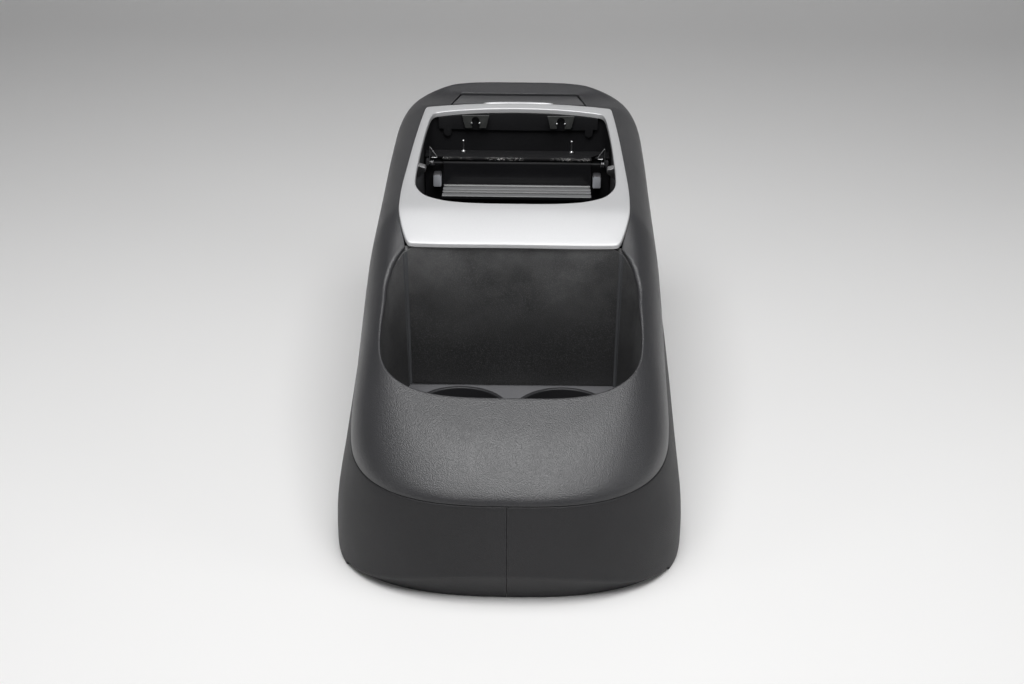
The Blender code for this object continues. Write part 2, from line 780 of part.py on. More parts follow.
def build_lower_panels(looks):
    """Two side panels that meet at the nose, and a rear panel between their tails."""
    seam = seam_station(REAR_SEAM_HALF)
    side_run = [i / 20.0 for i in range(20)] + [1.0 + i / 8.0 for i in range(8)]
    side_run += [2.0 + (seam - 2.0) * i / 8.0 for i in range(9)]
    side_run += [NOTCH_SHARE, NOTCH_SHARE + 0.03]
    side_run.sort()
    for name, sign in (("side_panel_right", 1.0), ("side_panel_left", -1.0)):
        build_lower_panel(name, [(t, sign) for t in side_run], True, looks["grained_low"])
    inner = seam_station(REAR_SEAM_HALF - REAR_SEAM_GAP)
    rear_run = [(inner + (3.0 - inner) * i / 5.0, 1.0) for i in range(6)]
    rear_run += [(t, -1.0) for t, sign in rear_run[-2::-1]]
    build_lower_panel("rear_panel", rear_run, False, looks["grained_low"])


def back_edge(side, middle=None):
    """Two outline points along the bin's back wall: half way out, then on the centre line."""
    return [(0.5 * BACK_WALL_HALF, side), (0.0, side if middle is None else middle)]


def bin_loops():
    """Loops of the storage bin from its outer floor up over the flange to its inner floor."""
    rim = both_sides(rim_half_outline(0.0) + back_edge(BACK_WALL + 0.0028, BACK_WALL + 0.0022))
    floor = both_sides(floor_half_outline(0.0) + back_edge(BACK_WALL + 0.0040))
    bottom = both_sides(floor_half_outline(BIN_CORNER) + back_edge(BACK_WALL + 0.0040 - BIN_CORNER))

    def seat(x, d):
        return shell_under(x, d) - SEAT

    def flange_low(x, d):
        return seat(x, d) - LINER_WALL

    outer_rim = offset_outline(rim, LINER_WALL)
    flange = offset_outline(rim, FLANGE)
    low = BIN_FLOOR_Z - LINER_WALL
    return [
        loop_at(offset_outline(bottom, 0.4 * LINER_WALL), low),
        loop_at(offset_outline(floor, LINER_WALL), low + BIN_CORNER),
        loop_at(outer_rim, flange_low),
        loop_at(flange, flange_low),
        loop_at(flange, seat),
        loop_at(rim, seat),
        loop_at(floor, BIN_FLOOR_Z + BIN_CORNER),
        loop_at(bottom, BIN_FLOOR_Z),
    ]


def build_bin(looks):
    """Storage bin with two holes in its floor, the tray on it, and a cup insert in each hole."""
    storage_bin = loft("storage_bin", bin_loops(), looks["grained"])
    inset = BIN_CORNER + 0.0007
    tray_half = floor_half_outline(inset) + back_edge(BACK_WALL + 0.0040 - inset)
    tray_z = BIN_FLOOR_Z + GAP + 0.5 * TRAY_THICKNESS
    centres = [(sign * 0.5 * CUP_SPACING, CUP_CENTRE) for sign in (1.0, -1.0)]
    hole = CUP_RADIUS + CUP_WALL + GAP
    outlines = [both_sides(tray_half)] + [circle(centre, hole, 32) for centre in centres]
    plate_z("cup_tray", outlines, tray_z, TRAY_THICKNESS, looks["tray"])
    top = BIN_FLOOR_Z + GAP + TRAY_THICKNESS + GAP
    for name, centre in zip(("right", "left"), centres):
        cutter = prism_cutter("cup hole " + name, circle(centre, hole, 32), BIN_FLOOR_Z - BIN_CORNER, top)
        cut(storage_bin, cutter)
        build_cup("cup_insert_" + name, centre, top, looks["tray"])
        build_mat("cup_mat_" + name, centre, top - CUP_DEPTH, looks["rubber"])


def build_cup(name, centre, top, look):
    """A turned cup with a rolled lip that rests on the tray."""
    inner = CUP_RADIUS
    outer = CUP_RADIUS + CUP_WALL
    lip = outer + CUP_LIP
    base = inner - CUP_TAPER
    profile = [
        (0.0, -CUP_DEPTH), (base - CUP_CORNER, -CUP_DEPTH), (base, CUP_CORNER - CUP_DEPTH),
        (inner, CUP_BEAD - 0.0006), (inner + 0.0004, CUP_BEAD), (lip - 0.0006, CUP_BEAD),
        (lip, CUP_BEAD - 0.0009), (lip - 0.0002, 0.0), (outer, 0.0),
        (outer - CUP_TAPER, -CUP_DEPTH - CUP_WALL), (0.0, -CUP_DEPTH - CUP_WALL),
    ]
    return turned(name, profile, look, world(*centre, top), 28)


def build_mat(name, centre, floor, look):
    """A ribbed rubber disc on the floor of a cup."""
    radius = CUP_RADIUS - CUP_TAPER - 0.0035
    base = floor + GAP
    profile = [(0.0, MAT_THICKNESS)]
    for share in (0.30, 0.55, 0.80):
        profile.append((share * radius - 0.0016, MAT_THICKNESS))
        profile.append((share * radius - 0.0008, MAT_THICKNESS - 0.0007))
        profile.append((share * radius + 0.0008, MAT_THICKNESS - 0.0007))
        profile.append((share * radius + 0.0016, MAT_THICKNESS))
    profile += [(radius - 0.0005, MAT_THICKNESS), (radius, MAT_THICKNESS - 0.0005)]
    profile += [(radius, 0.0), (0.0, 0.0)]
    return turned(name, profile, look, world(*centre, base), 16)


def build_frame(looks):
    """Painted trim frame: a ring lofted through its cross-sections, with an inner lip."""
    outer = both_sides(FRAME_OUTER)
    inner = both_sides(FRAME_INNER)
    outer_in = offset_outline(outer, -FRAME_EDGE)
    inner_out = offset_outline(inner, FRAME_EDGE)
    lip_back = offset_outline(inner, 0.0018)
    rows = []
    for i, point in enumerate(outer):
        near, far = Vector(outer_in[i]), Vector(inner_out[i])
        face = [tuple(near.lerp(far, share)) for share in FRAME_FACE_SHARES]
        section = [world(*point, frame_under(*point))]
        section.append(world(*point, frame_z(*point) - FRAME_EDGE))
        section += [world(*spot, frame_z(*spot)) for spot in face]
        section.append(world(*inner[i], frame_z(*inner[i]) - FRAME_EDGE))
        section.append(world(*inner[i], frame_z(*inner[i]) - FRAME_LIP))
        section.append(world(*lip_back[i], frame_z(*lip_back[i]) - FRAME_LIP))
        section.append(world(*lip_back[i], frame_under(*lip_back[i])))
        section += [world(*spot, frame_under(*spot)) for spot in face[-3:0:-1]]
        rows.append(section)
    return loft("trim_frame", rows, looks["silver"], ring=True)


def well_half(extra):
    """Half outline of the well's inner wall, outside the frame's lip."""
    outline = offset_outline(both_sides(FRAME_INNER), 0.0018 + LIP_CLEARANCE + extra)
    return outline[:len(FRAME_INNER)]


def build_well(looks):
    """Open storage well hung under the frame by its flange."""
    inner = both_sides([(max(0.0, x), d) for x, d in well_half(0.0)])
    outer = offset_outline(inner, LINER_WALL)
    flange = offset_outline(inner, FLANGE)

    def seat(x, d):
        return frame_z(x, d) - 1.12 * FRAME_WALL - SEAT

    def flange_low(x, d):
        return seat(x, d) - LINER_WALL

    low = WELL_FLOOR_Z - LINER_WALL
    loops = [
        loop_at(offset_outline(inner, -0.004), low),
        loop_at(outer, low + 0.005),
        loop_at(outer, flange_low),
        loop_at(flange, flange_low),
        loop_at(flange, seat),
        loop_at(inner, seat),
        loop_at(inner, WELL_FLOOR_Z + 0.005),
        loop_at(offset_outline(inner, -0.005), WELL_FLOOR_Z),
    ]
    return loft("storage_well", loops, looks["inner"])


def build_bulkhead(looks):
    """Cross wall with a window, and the deck plate on top of it."""
    half = half_at(well_half(0.0), BULKHEAD + DECK_DEPTH) - GAP
    top = DECK_Z - DECK_WALL - GAP
    low = WELL_FLOOR_Z + 0.005 + GAP
    edge = [(half, top), (-half, top), (-half, low), (half, low)]
    sill = DECK_Z - FLAP_DROP + WINDOW_SILL
    window = rounded_box((-WINDOW_HALF, sill), (WINDOW_HALF, top - 0.002), 0.002, 2)
    middle = BULKHEAD + 0.5 * BULKHEAD_WALL
    plate_y("well_bulkhead", [edge, window], middle, BULKHEAD_WALL, looks["inner"])
    deck = [(half, BULKHEAD - 0.002), (half, BULKHEAD + DECK_DEPTH)]
    deck += [(-half, BULKHEAD + DECK_DEPTH), (-half, BULKHEAD - 0.002)]
    plate_z("well_deck", [deck], DECK_Z - 0.5 * DECK_WALL, DECK_WALL, looks["inner"])
    return half


def flap_profile(axis):
    """Side view of the flap: barrel, face, cove and a ledge with three ribs."""
    ax, az = axis
    back = BULKHEAD - GAP
    face = ax - FLAP_BARREL
    low = DECK_Z - FLAP_DROP
    front = face - LEDGE_DEPTH
    points = arc(axis, FLAP_BARREL, 180.0, -20.0, 10)
    points.append((back, az - FLAP_BARREL - 0.001))
    points += [(back, low - FLAP_WALL + 0.001), (back - 0.001, low - FLAP_WALL)]
    points += [(front + 0.001, low - FLAP_WALL), (front, low - FLAP_WALL + 0.0006)]
    ribs = ((0.0, 0.0075), (0.0105, 0.0150), (0.0168, LEDGE_DEPTH - FLAP_COVE))
    for start, stop in ribs:
        left = front + start
        right = front + stop
        points += [(left, low), (left + 0.0006, low + RIB_HEIGHT)]
        points += [(right - 0.0008, low + RIB_HEIGHT), (right, low)]
    centre = (face - FLAP_COVE, low + FLAP_COVE)
    points += arc(centre, FLAP_COVE, -80.0, 0.0, 4)
    return points


def build_flap(looks, half):
    """Sprung flap over the bulkhead's window, with its pin, lugs, springs and guide blocks."""
    axis = (BULKHEAD - FLAP_BARREL - 0.0008, DECK_Z - DECK_WALL - GAP - FLAP_BARREL - 0.0004)
    hole = circle(axis, FLAP_PIN_RADIUS + 0.0002, 12)
    outlines = [flap_profile(axis), hole]
    plate_x("well_flap", outlines, 0.0, 2.0 * FLAP_HALF, looks["gloss"], pivot=axis)
    pin_end = half - 0.001
    rod("flap_pin", FLAP_PIN_RADIUS, (-pin_end, *axis), (pin_end, *axis), looks["steel"])
    for name, sign in (("right", 1.0), ("left", -1.0)):
        lug_x = sign * (half - 0.0028)
        top = DECK_Z - DECK_WALL - GAP
        lug = [(axis[0] - 0.0035, top), (axis[0] - 0.0035, axis[1] - 0.001)]
        lug += arc(axis, 0.0033, 200.0, 340.0, 6)
        lug += [(axis[0] + 0.0035, axis[1] - 0.001), (axis[0] + 0.0035, top)]
        bore = circle(axis, FLAP_PIN_RADIUS + GAP, 12)
        plate_x("flap_lug_" + name, [lug, bore], lug_x, 0.0024, looks["inner"])
        size = GUIDE_SIZE
        inner = FLAP_HALF + GUIDE_CLEARANCE
        near, far = sorted((sign * inner, sign * (inner + size[0])))
        low = DECK_Z - FLAP_DROP
        outline = rounded_box((near, low), (far, low + size[2]), 0.0008, 2)
        plate_y("flap_guide_" + name, [outline], BULKHEAD - GAP - 0.5 * size[1], size[1], looks["nylon"])
        build_spring("flap_spring_" + name, axis, sign, lug_x, looks["steel"])


def build_spring(name, axis, sign, lug_x, look):
    """Torsion spring on the pin, one leg on the flap's face and one on the deck."""
    radius = 0.0023
    start = lug_x - sign * 0.0019
    turns = 3
    steps = 8
    points = []
    for i in range(steps * turns + 1):
        angle = 2.0 * math.pi * i / steps
        x = start - sign * SPRING_PITCH * i / steps
        points.append((x, axis[0] - radius * math.cos(angle), axis[1] + radius * math.sin(angle)))
    first = points[0]
    leg = [(first[0], first[1] - 0.0002, first[2] - 0.009)]
    return wire(name, 0.0004, leg + points, look)


def build_clip_carrier(looks):
    """Bowed rear web under the frame's far edge, with two tongues, and the notched clip tabs."""
    wall = well_half(0.0)
    stations = [-WEB_HALF, -0.054, -0.035, -0.018, 0.0, 0.018, 0.035, 0.054, WEB_HALF]
    for centre in (-TONGUE_PLACE, TONGUE_PLACE):
        stations += [centre - TONGUE_HALF - 0.0002, centre + TONGUE_HALF + 0.0002]
        stations += [centre + TONGUE_HALF * share for share in (-1.0, -0.8, -0.4, 0.0, 0.4, 0.8, 1.0)]
    loops = []
    for x in sorted(stations):
        back = rear_at(wall, x) - GAP
        top = frame_z(x, back) - FRAME_LIP - 2.0 * GAP
        low = frame_z(WEB_HALF, back) - FRAME_LIP - WEB_HEIGHT
        inset = abs(abs(x) - TONGUE_PLACE)
        if inset < TONGUE_HALF + 0.0001:
            low -= TONGUE_DROP + math.sqrt(max(0.0, TONGUE_HALF ** 2 - inset ** 2))
        front = back - WEB_WALL
        corners = ((front, top), (back, top), (back, low), (front, low))
        loops.append([world(x, d, z) for d, z in corners])
    loft("clip_carrier", loops, looks["inner"], smooth=False)
    for name, sign in (("right", 1.0), ("left", -1.0)):
        centre = sign * TAB_PLACE
        top = frame_z(TAB_PLACE + TAB_HALF, rear_at(wall, TAB_PLACE)) - FRAME_LIP - 2.0 * GAP
        low = top - TAB_HEIGHT
        tab = [(centre + TAB_HALF, top), (centre - TAB_HALF, top), (centre - 0.77 * TAB_HALF, low)]
        tab += [(centre - TAB_SLOT, low)]
        tab += arc((centre, top - 0.4 * TAB_HEIGHT), TAB_SLOT, 200.0, -20.0, 10)
        tab += [(centre + TAB_SLOT, low), (centre + 0.77 * TAB_HALF, low)]
        front = rear_at(wall, TAB_PLACE + TAB_HALF) - GAP - WEB_WALL
        plate_y("clip_tab_" + name, [tab], front - GAP - 0.5 * TAB_WALL, TAB_WALL, looks["tab"])


def build_studs(looks):
    """Ball-headed studs on the deck, and spring clips on the well's side walls."""
    for name, sign in (("right", 1.0), ("left", -1.0)):
        profile = [(0.0, 0.0120)]
        profile += [(0.0012 * math.cos(a), 0.0108 + 0.0012 * math.sin(a)) for a in (1.0, 0.4, -0.2)]
        profile += [(0.0007, 0.0098), (0.0007, 0.0015), (0.0020, 0.0015), (0.0020, 0.0), (0.0, 0.0)]
        spot = world(sign * STUD_PLACE, BULKHEAD + 0.0080, DECK_Z + GAP)
        turned("stud_" + name, profile, looks["steel"], spot, 10)
        clip_d = FRAME_REAR - 0.118
        wall = half_at(well_half(0.0), clip_d) - GAP
        high = frame_z(wall, clip_d) - 0.0085
        profile = [(sign * wall, high), (sign * wall, high - 0.012)]
        profile.append((sign * (wall - 0.0009), high - 0.012))
        profile += [(sign * (wall - 0.0040), high - 0.0060), (sign * (wall - 0.0034), high - 0.0030)]
        profile += [(sign * (wall - 0.0009), high - 0.0012), (sign * (wall - 0.0009), high)]
        plate_y("side_clip_" + name, [profile], clip_d, 0.009, looks["steel"])


def build_lid(looks):
    """Rear lid with a finger scoop, its pin, hinge blocks and the pocket beneath."""
    slope = LID_SLOPE
    start = FRAME_REAR - 0.008
    high = ridge_z(FRAME_REAR + 0.010) - slope * 0.010

    def line(d):
        return high + slope * (d - FRAME_REAR)

    axis_d = LID_REAR - LID_AXIS_DEPTH
    axis = (axis_d, line(axis_d) - LID_AXIS_DEPTH)
    under = LID_THICKNESS
    side = [(start, line(start))] + arc(axis, LID_AXIS_DEPTH, 92.0, -10.0, 8)
    side += [(axis_d + 0.0040, axis[1] - 0.0030), (axis_d - 0.0030, axis[1] - 0.0030)]
    side += [(axis_d - 0.0060, line(axis_d) - under), (start, line(start) - under)]
    hole = circle(axis, LID_PIN_RADIUS + 0.0002, 12)
    lid = as_mesh(plate_x("rear_lid", [side, hole], 0.0, 2.0 * FRAME_HALF, looks["silver_dark"], pivot=axis))
    near = [(0.0, FRAME_REAR + LID_GAP)]
    for share in (0.25, 0.5, 0.75, 0.94):
        x = share * LID_NEAR_HALF
        near.append((x, rear_at(FRAME_OUTER, x) + LID_GAP))
    near.append((LID_NEAR_HALF, rear_at(FRAME_OUTER, LID_NEAR_HALF) + LID_GAP + 0.002))
    past = LID_REAR + LID_GAP
    far = [(lid_half(LID_REAR - LID_CORNER), LID_REAR - LID_CORNER)]
    far.append((lid_half(LID_REAR) - LID_CORNER - LID_GAP, past))
    plan = both_sides(near + far + [(0.0, past)])
    cut(lid, prism_cutter("lid plan", plan, axis[1] - POCKET_DEPTH, ABOVE_ALL), "INTERSECT")
    scoop_start = FRAME_REAR - LID_GAP
    scoop = []
    for i in range(17):
        turn = math.pi * i / 16.0
        depth = (SCOOP_DEPTH + LID_GAP) * math.sin(turn) ** 0.6
        scoop.append((SCOOP_HALF * math.cos(turn), scoop_start + depth))
    cut(lid, prism_cutter("lid scoop", scoop, line(FRAME_REAR) - SCOOP_FLOOR, ABOVE_ALL))
    pin_half = lid_half(axis_d) + LID_GAP + 0.0035
    rod("lid_pin", LID_PIN_RADIUS, (-pin_half, *axis), (pin_half, *axis), looks["steel"])
    build_pocket(axis, looks)
    return axis


def build_pocket(axis, looks):
    """Shallow pocket under the lid, hung from the shell beside the opening."""
    near = FRAME_REAR + 0.0035
    far = LID_REAR - 0.0015
    corner = 0.003
    half_near = lid_half(near) - 0.0015
    half_far = lid_half(far) - 0.0015
    half = [(0.0, near), (half_near - corner, near), (half_near, near + corner)]
    half += [(half_far + 0.0002, far - corner), (half_far - corner, far), (0.0, far)]
    inner = both_sides(half)
    outer = offset_outline(inner, 0.0015)
    top = axis[1] - LID_AXIS_DEPTH - LID_GAP
    low = top - POCKET_DEPTH
    loops = [
        loop_at(offset_outline(inner, -0.002), low - 0.0018),
        loop_at(outer, low + 0.002),
        loop_at(outer, top),
        loop_at(inner, top),
        loop_at(inner, low + 0.003),
        loop_at(offset_outline(inner, -0.003), low),
    ]
    loft("lid_pocket", loops, looks["inner"])
    for name, sign in (("right", 1.0), ("left", -1.0)):
        x = sign * (lid_half(axis[0]) + LID_GAP + 0.0018)
        top = axis[1] - 0.0003
        block = [(axis[0] - 0.0032, top), (axis[0] - 0.0032, axis[1] - 0.012)]
        block += [(axis[0] + 0.0032, axis[1] - 0.012), (axis[0] + 0.0032, top)]
        block += arc(axis, LID_PIN_RADIUS + 0.0002, -12.0, -168.0, 8)
        plate_x("lid_hinge_block_" + name, [block], x, 0.0030, looks["inner"])


def bracket_outline(half, low, high, foot):
    """Front view of a hat-shaped pressed bracket."""
    w = BRACKET_WALL
    right = [(half + foot, low), (half + foot, low + w), (half + w, low + w), (half - 0.003 + w, high)]
    left = [(-x, z) for x, z in reversed(right)]
    under = [(-half, low), (-half + 0.003, high - w), (half - 0.003, high - w), (half, low)]
    return right + left + under


def build_base(looks):
    """Floor plate with windows and bolt holes, hat brackets and their screws."""
    edge = PANEL_WALL + PLATE_CLEARANCE
    front = TUCK - NOSE_LIP + edge
    plan = Plan(FOOT_HALF - edge, front, FOOT_CAP - TUCK - edge, FOOT_POWER, REAR_END - edge)
    half = [plan.point(i / 10.0) for i in range(31)]
    half[0] = (0.0, half[0][1])
    half[-1] = (0.0, half[-1][1])
    bin_d = CUP_CENTRE - CUP_RADIUS - CUP_WALL - BRACKET_WIDTH
    front_d = BULKHEAD - 5.0 * BRACKET_WIDTH
    rear_d = BULKHEAD + 1.5 * BRACKET_WIDTH
    bounds = ((bin_d, BACK_WALL), (BACK_WALL, front_d), (front_d, rear_d), (rear_d, LID_REAR))
    outlines = [both_sides(half)]
    for near, far in bounds:
        low = (-PLATE_WINDOW_HALF, near + PLATE_RIB)
        outlines.append(rounded_box(low, (PLATE_WINDOW_HALF, far - PLATE_RIB), PLATE_WINDOW_CORNER))
    for d in BOLT_PLACES:
        outlines += [circle((sign * BOLT_HALF, d), FLOOR_HOLE_RADIUS, 16) for sign in (1.0, -1.0)]
    plate_z("floor_plate", outlines, 0.5 * PLATE_THICKNESS, PLATE_THICKNESS, looks["steel_plate"])
    low = PLATE_THICKNESS + GAP
    bin_top = BIN_FLOOR_Z - LINER_WALL - GAP
    well_top = WELL_FLOOR_Z - LINER_WALL - GAP
    supports = (
        ("bin_bracket", bin_d, bin_top, BRACKET_HALF),
        ("well_bracket_front", front_d, well_top, BRACKET_HALF),
        ("well_bracket_rear", rear_d, well_top, BRACKET_HALF),
    )
    for name, d, high, half_width in supports:
        outline = bracket_outline(half_width, low, high, BRACKET_FOOT)
        plate_y(name, [outline], d, BRACKET_WIDTH, looks["steel_plate"])
        for side, sign in (("right", 1.0), ("left", -1.0)):
            spot = world(sign * (half_width + 0.6 * BRACKET_FOOT), d, low + BRACKET_WALL + GAP)
            build_screw(name + "_screw_" + side, spot, looks["steel"])


def build_screw(name, spot, look):
    """A pan-head screw whose head sits on a bracket's foot."""
    head = SCREW_HEAD_RADIUS
    tall = SCREW_HEAD_HEIGHT
    profile = [(0.0, tall), (0.6 * head, tall), (head, 0.4 * tall), (head, 0.0), (0.0, 0.0)]
    return turned(name, profile, look, spot, 12)


def make_looks():
    """One material for each kind of finish."""
    return {
        "grained": material("grained plastic", (0.045, 0.046, 0.050), 0.55),
        "grained_low": material("grained panel plastic", (0.038, 0.038, 0.042), 0.58),
        "tray": material("tray plastic", (0.055, 0.055, 0.060), 0.45),
        "rubber": material("rubber", (0.020, 0.020, 0.021), 0.80),
        "silver": material("satin silver paint", (0.62, 0.63, 0.65), 0.32, 0.85),
        "silver_dark": material("satin grey paint", (0.36, 0.36, 0.38), 0.35, 0.70),
        "inner": material("inner plastic", (0.022, 0.022, 0.024), 0.50),
        "gloss": material("gloss black plastic", (0.012, 0.012, 0.013), 0.18),
        "tab": material("tab plastic", (0.080, 0.080, 0.082), 0.50),
        "nylon": material("grey nylon", (0.42, 0.44, 0.48), 0.45),
        "steel": material("bright steel", (0.62, 0.62, 0.63), 0.30, 1.0),
        "steel_plate": material("zinc plated steel", (0.45, 0.45, 0.46), 0.42, 1.0),
    }


def build_console():
    """Build every piece of the console."""
    looks = make_looks()
    build_upper_shell(looks)
    build_lower_panels(looks)
    build_bin(looks)
    build_frame(looks)
    build_well(looks)
    half = build_bulkhead(looks)
    build_flap(looks, half)
    build_clip_carrier(looks)
    build_studs(looks)
    build_lid(looks)
    build_base(looks)


clear_scene()
PARTS = bpy.data.collections.new("center_console")
CUTTERS = bpy.data.collections.new("cutters")
for group in (PARTS, CUTTERS):
    bpy.context.scene.collection.children.link(group)
build_console()
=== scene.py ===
"""Looks of the centre console: smooth shells, rounded edges, procedural materials, light and camera.

Shapes come from the construction model's sizes, with a few softer forms that only this script has.
Metres, +Z up, nose towards -Y.
Distances called d run back from a datum 10 mm behind the frontmost edge.
"""
import math

import bmesh
import bpy
import numpy as np
from mathutils import Matrix, Vector

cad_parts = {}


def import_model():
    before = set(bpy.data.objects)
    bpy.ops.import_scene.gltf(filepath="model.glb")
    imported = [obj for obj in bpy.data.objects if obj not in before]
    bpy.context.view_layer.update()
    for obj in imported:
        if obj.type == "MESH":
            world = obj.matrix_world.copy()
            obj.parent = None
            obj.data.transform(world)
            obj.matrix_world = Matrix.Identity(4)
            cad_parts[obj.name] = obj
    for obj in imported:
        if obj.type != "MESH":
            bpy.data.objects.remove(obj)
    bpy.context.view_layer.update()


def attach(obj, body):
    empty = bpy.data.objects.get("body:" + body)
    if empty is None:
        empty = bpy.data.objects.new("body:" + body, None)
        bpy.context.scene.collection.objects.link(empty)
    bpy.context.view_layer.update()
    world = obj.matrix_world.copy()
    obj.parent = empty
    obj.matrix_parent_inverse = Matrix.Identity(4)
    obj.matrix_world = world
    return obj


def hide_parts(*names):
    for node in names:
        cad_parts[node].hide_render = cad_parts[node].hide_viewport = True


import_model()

# Sizes, most of them shared with the construction model
BODY_HALF, FOOT_HALF = 0.1226, 0.1335
NOSE_LIP, NOSE_DEPTH, BIN_LENGTH, FRAME_LENGTH = 0.010, 0.066, 0.132, 0.256
LID_DEPTH, REAR_BAND, BAND_FLARE, BELT_NOSE = 0.036, 0.024, 0.75, 0.006
NOSE_CAP, REAR_CAP, NOSE_POWER, REAR_POWER = 0.135, 0.080, 2.9, 4.0
FOOT_CAP, FOOT_POWER, TAIL_TAPER = 0.100, 2.5, 0.035
BELT_FRONT_Z, BELT_SLOPE, BELT_RISE_START, BELT_RISE_LENGTH = 0.083, 0.44, 0.120, 0.232
RIM_FRONT_Z, RAMP_SLOPE, PLATEAU_SLOPE = 0.1315, 0.50, 0.09
KNEE_SETBACK, KNEE_SOFTNESS, LID_SLOPE, REAR_RISE = 0.038, 0.006, -0.05, 0.56
CROWN, SHOULDER_SLOPE, FOLD_SLOPE, FOLD_WIDTH = 0.003, 0.10, 0.22, 0.0145
SHOULDER_BLEND, FOLD_RUN, FOLD_START, FOLD_RAMP = 0.30, 0.085, 1.35, 3.0
NOSE_ROUND, SIDE_ROUND, REAR_ROUND, ROUND_POWER = 0.046, 0.034, 0.010, 2.2
CREASE_Z, SIDE_EDGE_Z, NOTCH_SHARE, TUCK = 0.025, 0.004, 0.68, 0.010
PANEL_PROUD, PANEL_BULGE, PANEL_EDGE = 0.0006, 0.0040, 0.0005
REAR_SEAM_HALF, REAR_SEAM_GAP, GROUND_CLEARANCE = 0.080, 0.0010, 0.0006
GAP, WALL, LINER_WALL, FRAME_WALL = 0.0003, 0.0026, 0.0022, 0.0028
FRAME_PROUD, FRAME_LIP, SEAT = 0.0008, 0.0045, 0.0006
RAIL_WIDTH, RIM_POWER, RIM_CAP, RIM_TAPER = 0.0221, 3.2, 0.069, 0.0007
RIM_EDGE, RIM_ROLL = 0.0012, 0.0018
BIN_FLOOR_Z, TRAY_THICKNESS, BIN_CORNER, BEAD = 0.0668, 0.0025, 0.0006, 0.0016
CUP_SETBACK, CUP_DEPTH = 0.0465, 0.054
CUP_WALL, CUP_LIP, CUP_TAPER, MAT_THICKNESS = 0.0015, 0.0022, 0.0020, 0.0020
WELL_FLOOR_Z, WELL_CORNER, LINER_FLANGE = 0.052, 0.005, 0.0050
LIP_CLEARANCE, FRAME_LIP_WALL, FRAME_ROUND, FRAME_CROWN = 0.0006, 0.0018, 0.0011, 0.0005
BULKHEAD_SETBACK, DECK_DROP, DECK_DEPTH, DECK_WALL = 0.064, 0.0238, 0.015, 0.0024
DECK_REACH, DUST_REACH = 0.0074, 0.0040
FLAP_WALL, FLAP_DROP, LEDGE_DEPTH, FLAP_COVE, RIB_HEIGHT = 0.0026, 0.0275, 0.0280, 0.0040, 0.0012
FLAP_PIN_RADIUS, FLAP_BARREL, PIN_CLEARANCE = 0.0013, 0.0032, 0.0002
GUIDE_SIZE, GUIDE_CLEARANCE = (0.0074, 0.0100, 0.0125), 0.0020
FLAP_RIBS = ((0.0, 0.0075), (0.0105, 0.0150), (0.0168, LEDGE_DEPTH - FLAP_COVE))
LID_THICKNESS, LID_GAP, LID_AXIS_DEPTH = 0.0045, 0.0008, 0.0054
FAR_GAP, SIDE_GAP = 0.0017, 0.0019
LID_PIN_RADIUS, LID_EDGE, SCOOP_DEPTH, SCOOP_FLOOR = 0.0012, 0.0006, 0.008, 0.0022
TAB_HALF, TAB_HEIGHT, TAB_SLOT, TAB_WALL = 0.0127, 0.0124, 0.0036, 0.0020
WEB_HEIGHT, WEB_WALL, TONGUE_HALF, TONGUE_DROP = 0.0150, 0.0022, 0.0035, 0.0035
FRAME_INSET, BACK_WALL_INSET, FLAP_INSET, WEB_INSET = 0.0272, 0.0096, 0.0280, 0.0209
TONGUE_INSET, LID_INSET, LID_TAPER, BACK_BOW, CUP_GAP = 0.0079, 0.0334, 0.0068, 0.003, 0.009
CUP_SHARE, TAB_SHARE, STUD_SHARE, SCOOP_SHARE = 0.306, 0.42, 0.521, 0.532
SIDES = (("right", 1.0), ("left", -1.0))

BACK_WALL = NOSE_DEPTH + BIN_LENGTH
KNEE = BACK_WALL + KNEE_SETBACK
FRAME_REAR = BACK_WALL + FRAME_LENGTH
LID_REAR = FRAME_REAR + LID_DEPTH
REAR_END = LID_REAR + REAR_BAND
MIDDLE = 0.5 * (REAR_END - NOSE_LIP)
RIM_HALF = BODY_HALF - RAIL_WIDTH
FRAME_HALF = BODY_HALF - FRAME_INSET
BACK_WALL_HALF = FRAME_HALF - BACK_WALL_INSET
CUP_RADIUS = CUP_SHARE * BODY_HALF
CUP_SPACING = 2.0 * CUP_RADIUS + CUP_GAP
FLAP_HALF = FRAME_HALF - FLAP_INSET
WEB_HALF = FRAME_HALF - WEB_INSET
TONGUE_PLACE = WEB_HALF - TONGUE_INSET
TAB_PLACE = TAB_SHARE * FRAME_HALF
STUD_PLACE = STUD_SHARE * FRAME_HALF
LID_NEAR_HALF = FRAME_HALF - LID_INSET
LID_FAR_HALF = LID_NEAR_HALF - LID_TAPER
SCOOP_HALF = SCOOP_SHARE * LID_NEAR_HALF
BULKHEAD = FRAME_REAR - BULKHEAD_SETBACK
CUP_CENTRE = BACK_WALL + BACK_BOW - CUP_SETBACK

# The frame's half outlines, as shares of its half width and of its length
FRAME_OUTER_SHARES = (
    (0.0, 0.0), (0.47, 0.002), (0.84, 0.0095), (0.888, 0.016), (0.933, 0.054),
    (0.975, 0.112), (0.992, 0.156), (1.0, 0.292), (0.9885, 0.454), (0.962, 0.721),
    (0.922, 0.958), (0.908, 0.9745), (0.88, 0.979), (0.47, 0.9945), (0.0, 1.0),
)
FRAME_INNER_SHARES = (
    (0.0, 0.165), (0.32, 0.169), (0.55, 0.183), (0.685, 0.205), (0.780, 0.232),
    (0.850, 0.277), (0.883, 0.322), (0.894, 0.398), (0.893, 0.490), (0.883, 0.672),
    (0.862, 0.830), (0.839, 0.898), (0.795, 0.920), (0.42, 0.943), (0.0, 0.950),
)


def soft(value, width):
    """Zero for negative values, the value itself for positive ones, bent softly between."""
    return 0.5 * (value + np.hypot(value, width))


def blend(value, low, high):
    """Smooth step from 0 at low to 1 at high."""
    share = np.clip((value - low) / (high - low), 0.0, 1.0)
    return share * share * (3.0 - 2.0 * share)


